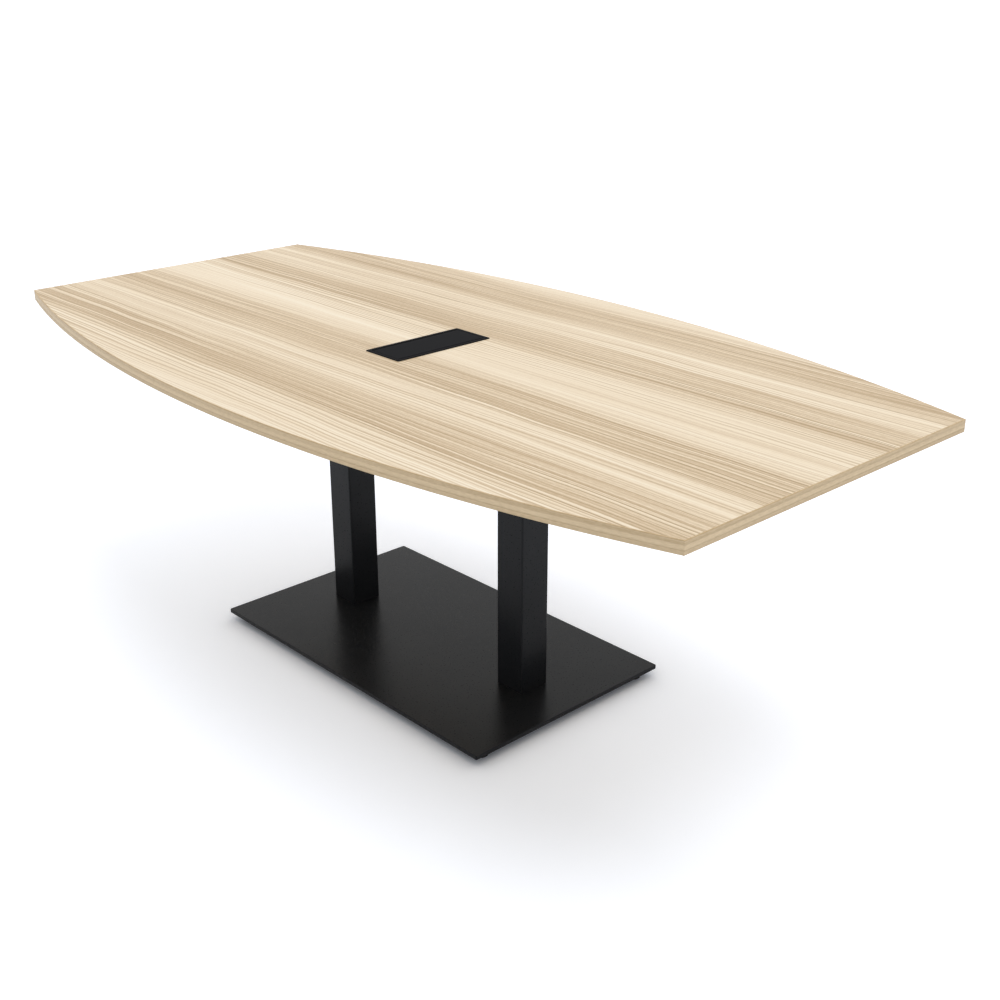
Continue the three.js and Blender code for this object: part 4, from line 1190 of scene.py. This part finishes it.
class TABLE_OT_outlets(bpy.types.Operator):
    """Makes the outlets, their contacts and the mains inlet"""

    bl_idname = "table.outlets"
    bl_label = "Outlets and inlet"

    def execute(self, context):
        looks = context.scene.table_power_box
        grey = material_of(moulded_grey_polycarbonate, looks)
        gold = material_of(gold_flashed_contacts, looks)
        for node, name, slots in (
            ("mains_outlet_1", "mains_socket_1", mains_slots),
            ("mains_outlet_2", "mains_socket_2", mains_slots),
            ("usb_charger", "usb_socket", usb_slots),
            ("data_jack_1", "data_socket_1", data_slots),
            ("data_jack_2", "data_socket_2", data_slots),
        ):
            middle = spot(node)
            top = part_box(node)[1].z
            body = solid(outlet_rings(node), pockets=slots(middle, top))
            piece(name, body, grey, [node])
            if slots is data_slots:
                piece(f"{name}_springs", data_springs(middle, top), gold)
            if slots is usb_slots:
                self.line_usb_ports(looks, middle, top)
        self.make_inlet(looks)
        return {"FINISHED"}

    def line_usb_ports(self, looks, middle, top):
        """A metal shell, a tongue and four contacts in each charging port."""
        floor = top - USB_DEPTH
        shell_low, shell_high = floor + SHELL_GAP, top - SHELL_DROP
        half_tongue, half_contact = TONGUE_LENGTH / 2, USB_CONTACT_WIDTH / 2
        shells, tongues, strips = [], [], []
        for x, y in usb_spots(middle):
            shell = rectangle(USB_WIDTH - 2 * SHELL_GAP, USB_LENGTH - 2 * SHELL_GAP, USB_CORNER, (x, y))
            bore = [at_height(shell(SHELL_SHEET), height) for height in (shell_low, shell_high)]
            shells.append(solid(straight(shell, shell_low, shell_high), [bore]))
            front = x + TONGUE_FRONT
            tongues.append(block(
                (x - TONGUE_BACK, y - half_tongue, shell_low), (front, y + half_tongue, top - TONGUE_DROP)
            ))
            for beside in row(USB_CONTACTS, USB_CONTACT_SPACING):
                strips.append(block(
                    (front, y + beside - half_contact, floor + USB_CONTACT_START),
                    (front + USB_CONTACT_SHEET, y + beside + half_contact, top - USB_CONTACT_DROP),
                ))
        for name, bodies, make, slot in (
            ("usb_port_shells", shells, nickel_plated_brass, "zinc_plated_steel"),
            ("usb_port_tongues", tongues, moulded_black_abs, "black_abs"),
            ("usb_port_contacts", strips, gold_flashed_contacts, "zinc_plated_steel"),
        ):
            piece(name, together(*bodies), material_of(make, looks))

    def make_inlet(self, looks):
        """The mains inlet in the tub's left wall: drawn with its face up, then turned to face left."""
        low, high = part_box("power_inlet")
        middle = (low + high) / 2
        face_out = Matrix.Translation((low.x, middle.y, middle.z)) @ Matrix.Rotation(-math.pi / 2, 4, "Y")
        across, along = high.z - low.z, high.y - low.y
        face = rectangle(across, along, INLET_FACE_CORNER)
        body = rectangle(across - 2 * INLET_LAP, along - 2 * INLET_LAP, INLET_BODY_CORNER)
        rings = straight(body, low.x - high.x, -INLET_FACE) + eased(face, -INLET_FACE, 0, SMALL_ARRIS)
        half_x = across / 2 - INLET_LAP - INLET_WALL
        half_y = along / 2 - INLET_LAP - INLET_WALL
        cut = INLET_CUT_CORNER
        socket = polygon(
            (-half_x, -half_y), (half_x - cut, -half_y), (half_x, cut - half_y), (half_x, half_y - cut),
            (half_x - cut, half_y), (-half_x, half_y),
        )
        shell = turn(solid(rings, pockets=[straight(socket, -INLET_DEPTH, 0)]), face_out)
        grey = material_of(moulded_grey_polycarbonate, looks)
        piece("inlet_socket", shell, grey, ["power_inlet"])
        pins = []
        for beside in row(INLET_PINS, INLET_PIN_SPACING):
            pin = rectangle(INLET_PIN_WIDTH, INLET_PIN_THICKNESS, SMALL_ARRIS, (0, beside))
            pins.append(solid(eased(pin, -INLET_DEPTH, INLET_PIN_REACH - INLET_DEPTH, SMALL_ARRIS)))
        nickel = material_of(nickel_plated_brass, looks)
        piece("inlet_pins", turn(together(*pins), face_out), nickel)


class TABLE_OT_power_tub(bpy.types.Operator):
    """Finishes the power box's tub, deck and clamps, and makes the clamp screws"""

    bl_idname = "table.power_tub"
    bl_label = "Power box tub"

    def execute(self, context):
        looks = context.scene.table_power_box
        black = material_of(moulded_black_abs, looks)
        zinc = material_of(zinc_plated_steel, context.scene.table_base)
        dress("power_housing", black, looks.arris)
        dress("outlet_deck", black, DECK_ARRIS)
        for end, sign in zip(ENDS, (-1, 1)):
            dress(f"clamp_bracket_{end}", zinc, SMALL_ARRIS)
            node = f"clamp_screw_{end}"
            low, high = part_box(node)
            middle = (low + high) / 2
            radius = (high.x - low.x) / 2
            length = high.y - low.y - CLAMP_HEAD_HEIGHT
            outer = high.y if sign > 0 else low.y
            seat = outer - sign * CLAMP_HEAD_HEIGHT
            screw = pan_screw(radius, CLAMP_HEAD_HEIGHT, CLAMP_SHANK, length, 0)
            head_out = Matrix.Rotation(-sign * math.pi / 2, 4, "X")
            place = Matrix.Translation((middle.x, seat, middle.z)) @ head_out
            piece(f"clamp_fixing_{end}", turn(screw, place), zinc, [node])
        return {"FINISHED"}


# Stage
def seen_rays(tree):
    """Whether a ray comes from the camera, straight, off something shiny or through something clear."""
    rays = add(tree, "ShaderNodeLightPath").outputs
    seen = rays["Is Camera Ray"]
    for kind in ("Is Glossy Ray", "Is Transmission Ray"):
        seen = add(tree, "ShaderNodeMath", {0: seen, 1: rays[kind]}, operation="MAXIMUM")
    return seen


def seamless_paper(name, looks):
    """Matt white background paper: it takes the table's soft shadow and shows white elsewhere."""
    made, tree = begin(name)
    level = add(tree, "ShaderNodeMath", {0: seen_rays(tree), 1: looks.lift}, operation="MULTIPLY")
    # The lift fades where something stands close over the paper, so that the shadow deepens there.
    clear_above = add(
        tree, "ShaderNodeAmbientOcclusion", {"Distance": LIFT_REACH}, samples=LIFT_SAMPLES
    ).outputs["AO"]
    fading = add(tree, "ShaderNodeMath", {0: clear_above, 1: LIFT_FADING}, operation="POWER")
    faded = add(tree, "ShaderNodeMath", {0: level, 1: fading}, operation="MULTIPLY")
    glow = add(tree, "ShaderNodeEmission", {"Color": (1, 1, 1, 1), "Strength": faded})
    paper = add(tree, "ShaderNodeBsdfDiffuse", {"Color": (*looks.floor, 1)})
    both = add(tree, "ShaderNodeAddShader", {0: paper, 1: glow})
    # From below the paper is clear, so that the table's underside shows.
    back = add(tree, "ShaderNodeNewGeometry").outputs["Backfacing"]
    clear = add(tree, "ShaderNodeBsdfTransparent")
    shown = add(tree, "ShaderNodeMixShader", {0: back, 1: both, 2: clear})
    add(tree, "ShaderNodeOutputMaterial", {"Surface": shown})
    return made


class TABLE_OT_stage(bpy.types.Operator):
    """Sets the floor, the light from all round, the two lamps and the camera"""

    bl_idname = "table.stage"
    bl_label = "Stage"

    def execute(self, context):
        scene = context.scene
        looks = scene.table_stage
        scene.view_settings.view_transform = "Standard"
        self.lay_floor(scene, looks)
        self.light(scene, looks)
        self.set_camera(scene, looks)
        return {"FINISHED"}

    def lay_floor(self, scene, looks):
        mesh = bpy.data.meshes.new("floor")
        corners = [(-1, -1), (1, -1), (1, 1), (-1, 1)]
        mesh.from_pydata([(x * FLOOR_HALF, y * FLOOR_HALF, 0) for x, y in corners], [], [(0, 1, 2, 3)])
        mesh.materials.append(material_of(seamless_paper, looks))
        floor = bpy.data.objects.new("floor", mesh)
        scene.collection.objects.link(floor)

    def light(self, scene, looks):
        world = bpy.data.worlds.new("studio")
        world.use_nodes = True
        scene.world = world
        tree = world.node_tree
        sky = tree.nodes["Background"]
        level = add(
            tree, "ShaderNodeMapRange", {"Value": seen_rays(tree), "To Min": looks.sky, "To Max": 1.0}
        )
        sky.inputs["Color"].default_value = (1, 1, 1, 1)
        tree.links.new(level.outputs[0], sky.inputs["Strength"])
        for name, angles in LAMPS.items():
            around, tilt, spread = (math.radians(angle) for angle in angles)
            lamp = bpy.data.lights.new(name, "SUN")
            lamp.energy = getattr(looks, name)
            lamp.angle = spread
            made = bpy.data.objects.new(name, lamp)
            made.rotation_euler = (0, tilt, around)
            made.visible_glossy = False  # shiny surfaces show the white surroundings instead
            scene.collection.objects.link(made)

    def set_camera(self, scene, looks):
        data = bpy.data.cameras.new("camera")
        data.lens = looks.lens
        data.sensor_width = SENSOR_WIDTH
        camera = bpy.data.objects.new("camera", data)
        place, target = Vector(looks.camera_place), Vector(looks.camera_target)
        camera.location = place
        camera.rotation_euler = (target - place).to_track_quat("-Z", "Y").to_euler()
        scene.collection.objects.link(camera)
        scene.camera = camera


class TABLE_PT_sidebar(bpy.types.Panel):
    """Lists the table's operators and looks"""

    bl_label = "Conference table"
    bl_idname = "TABLE_PT_sidebar"
    bl_space_type = "VIEW_3D"
    bl_region_type = "UI"
    bl_category = "Table"

    def draw(self, context):
        for operator in OPERATORS:
            self.layout.operator(operator.bl_idname)
        for group in LOOKS:
            looks = getattr(context.scene, group)
            box = self.layout.box()
            for name in looks.__annotations__:
                box.prop(looks, name)


LOOKS = {
    "table_stage": StageLooks,
    "table_top": TopLooks,
    "table_base": BaseLooks,
    "table_power_box": PowerBoxLooks,
}
OPERATORS = (
    TABLE_OT_stage,
    TABLE_OT_top,
    TABLE_OT_base,
    TABLE_OT_fasteners,
    TABLE_OT_glides,
    TABLE_OT_power_lid,
    TABLE_OT_power_tub,
    TABLE_OT_outlets,
)


def register():
    for group, looks in LOOKS.items():
        bpy.utils.register_class(looks)
        setattr(bpy.types.Scene, group, PointerProperty(type=looks))
    for item in (*OPERATORS, TABLE_PT_sidebar):
        bpy.utils.register_class(item)


def unregister():
    for item in (TABLE_PT_sidebar, *reversed(OPERATORS)):
        bpy.utils.unregister_class(item)
    for group, looks in LOOKS.items():
        delattr(bpy.types.Scene, group)
        bpy.utils.unregister_class(looks)


def main():
    register()
    bpy.ops.table.stage()
    bpy.ops.table.top()
    bpy.ops.table.base()
    bpy.ops.table.fasteners()
    bpy.ops.table.glides()
    bpy.ops.table.power_lid()
    bpy.ops.table.power_tub()
    bpy.ops.table.outlets()


if __name__ == "__main__":
    main()
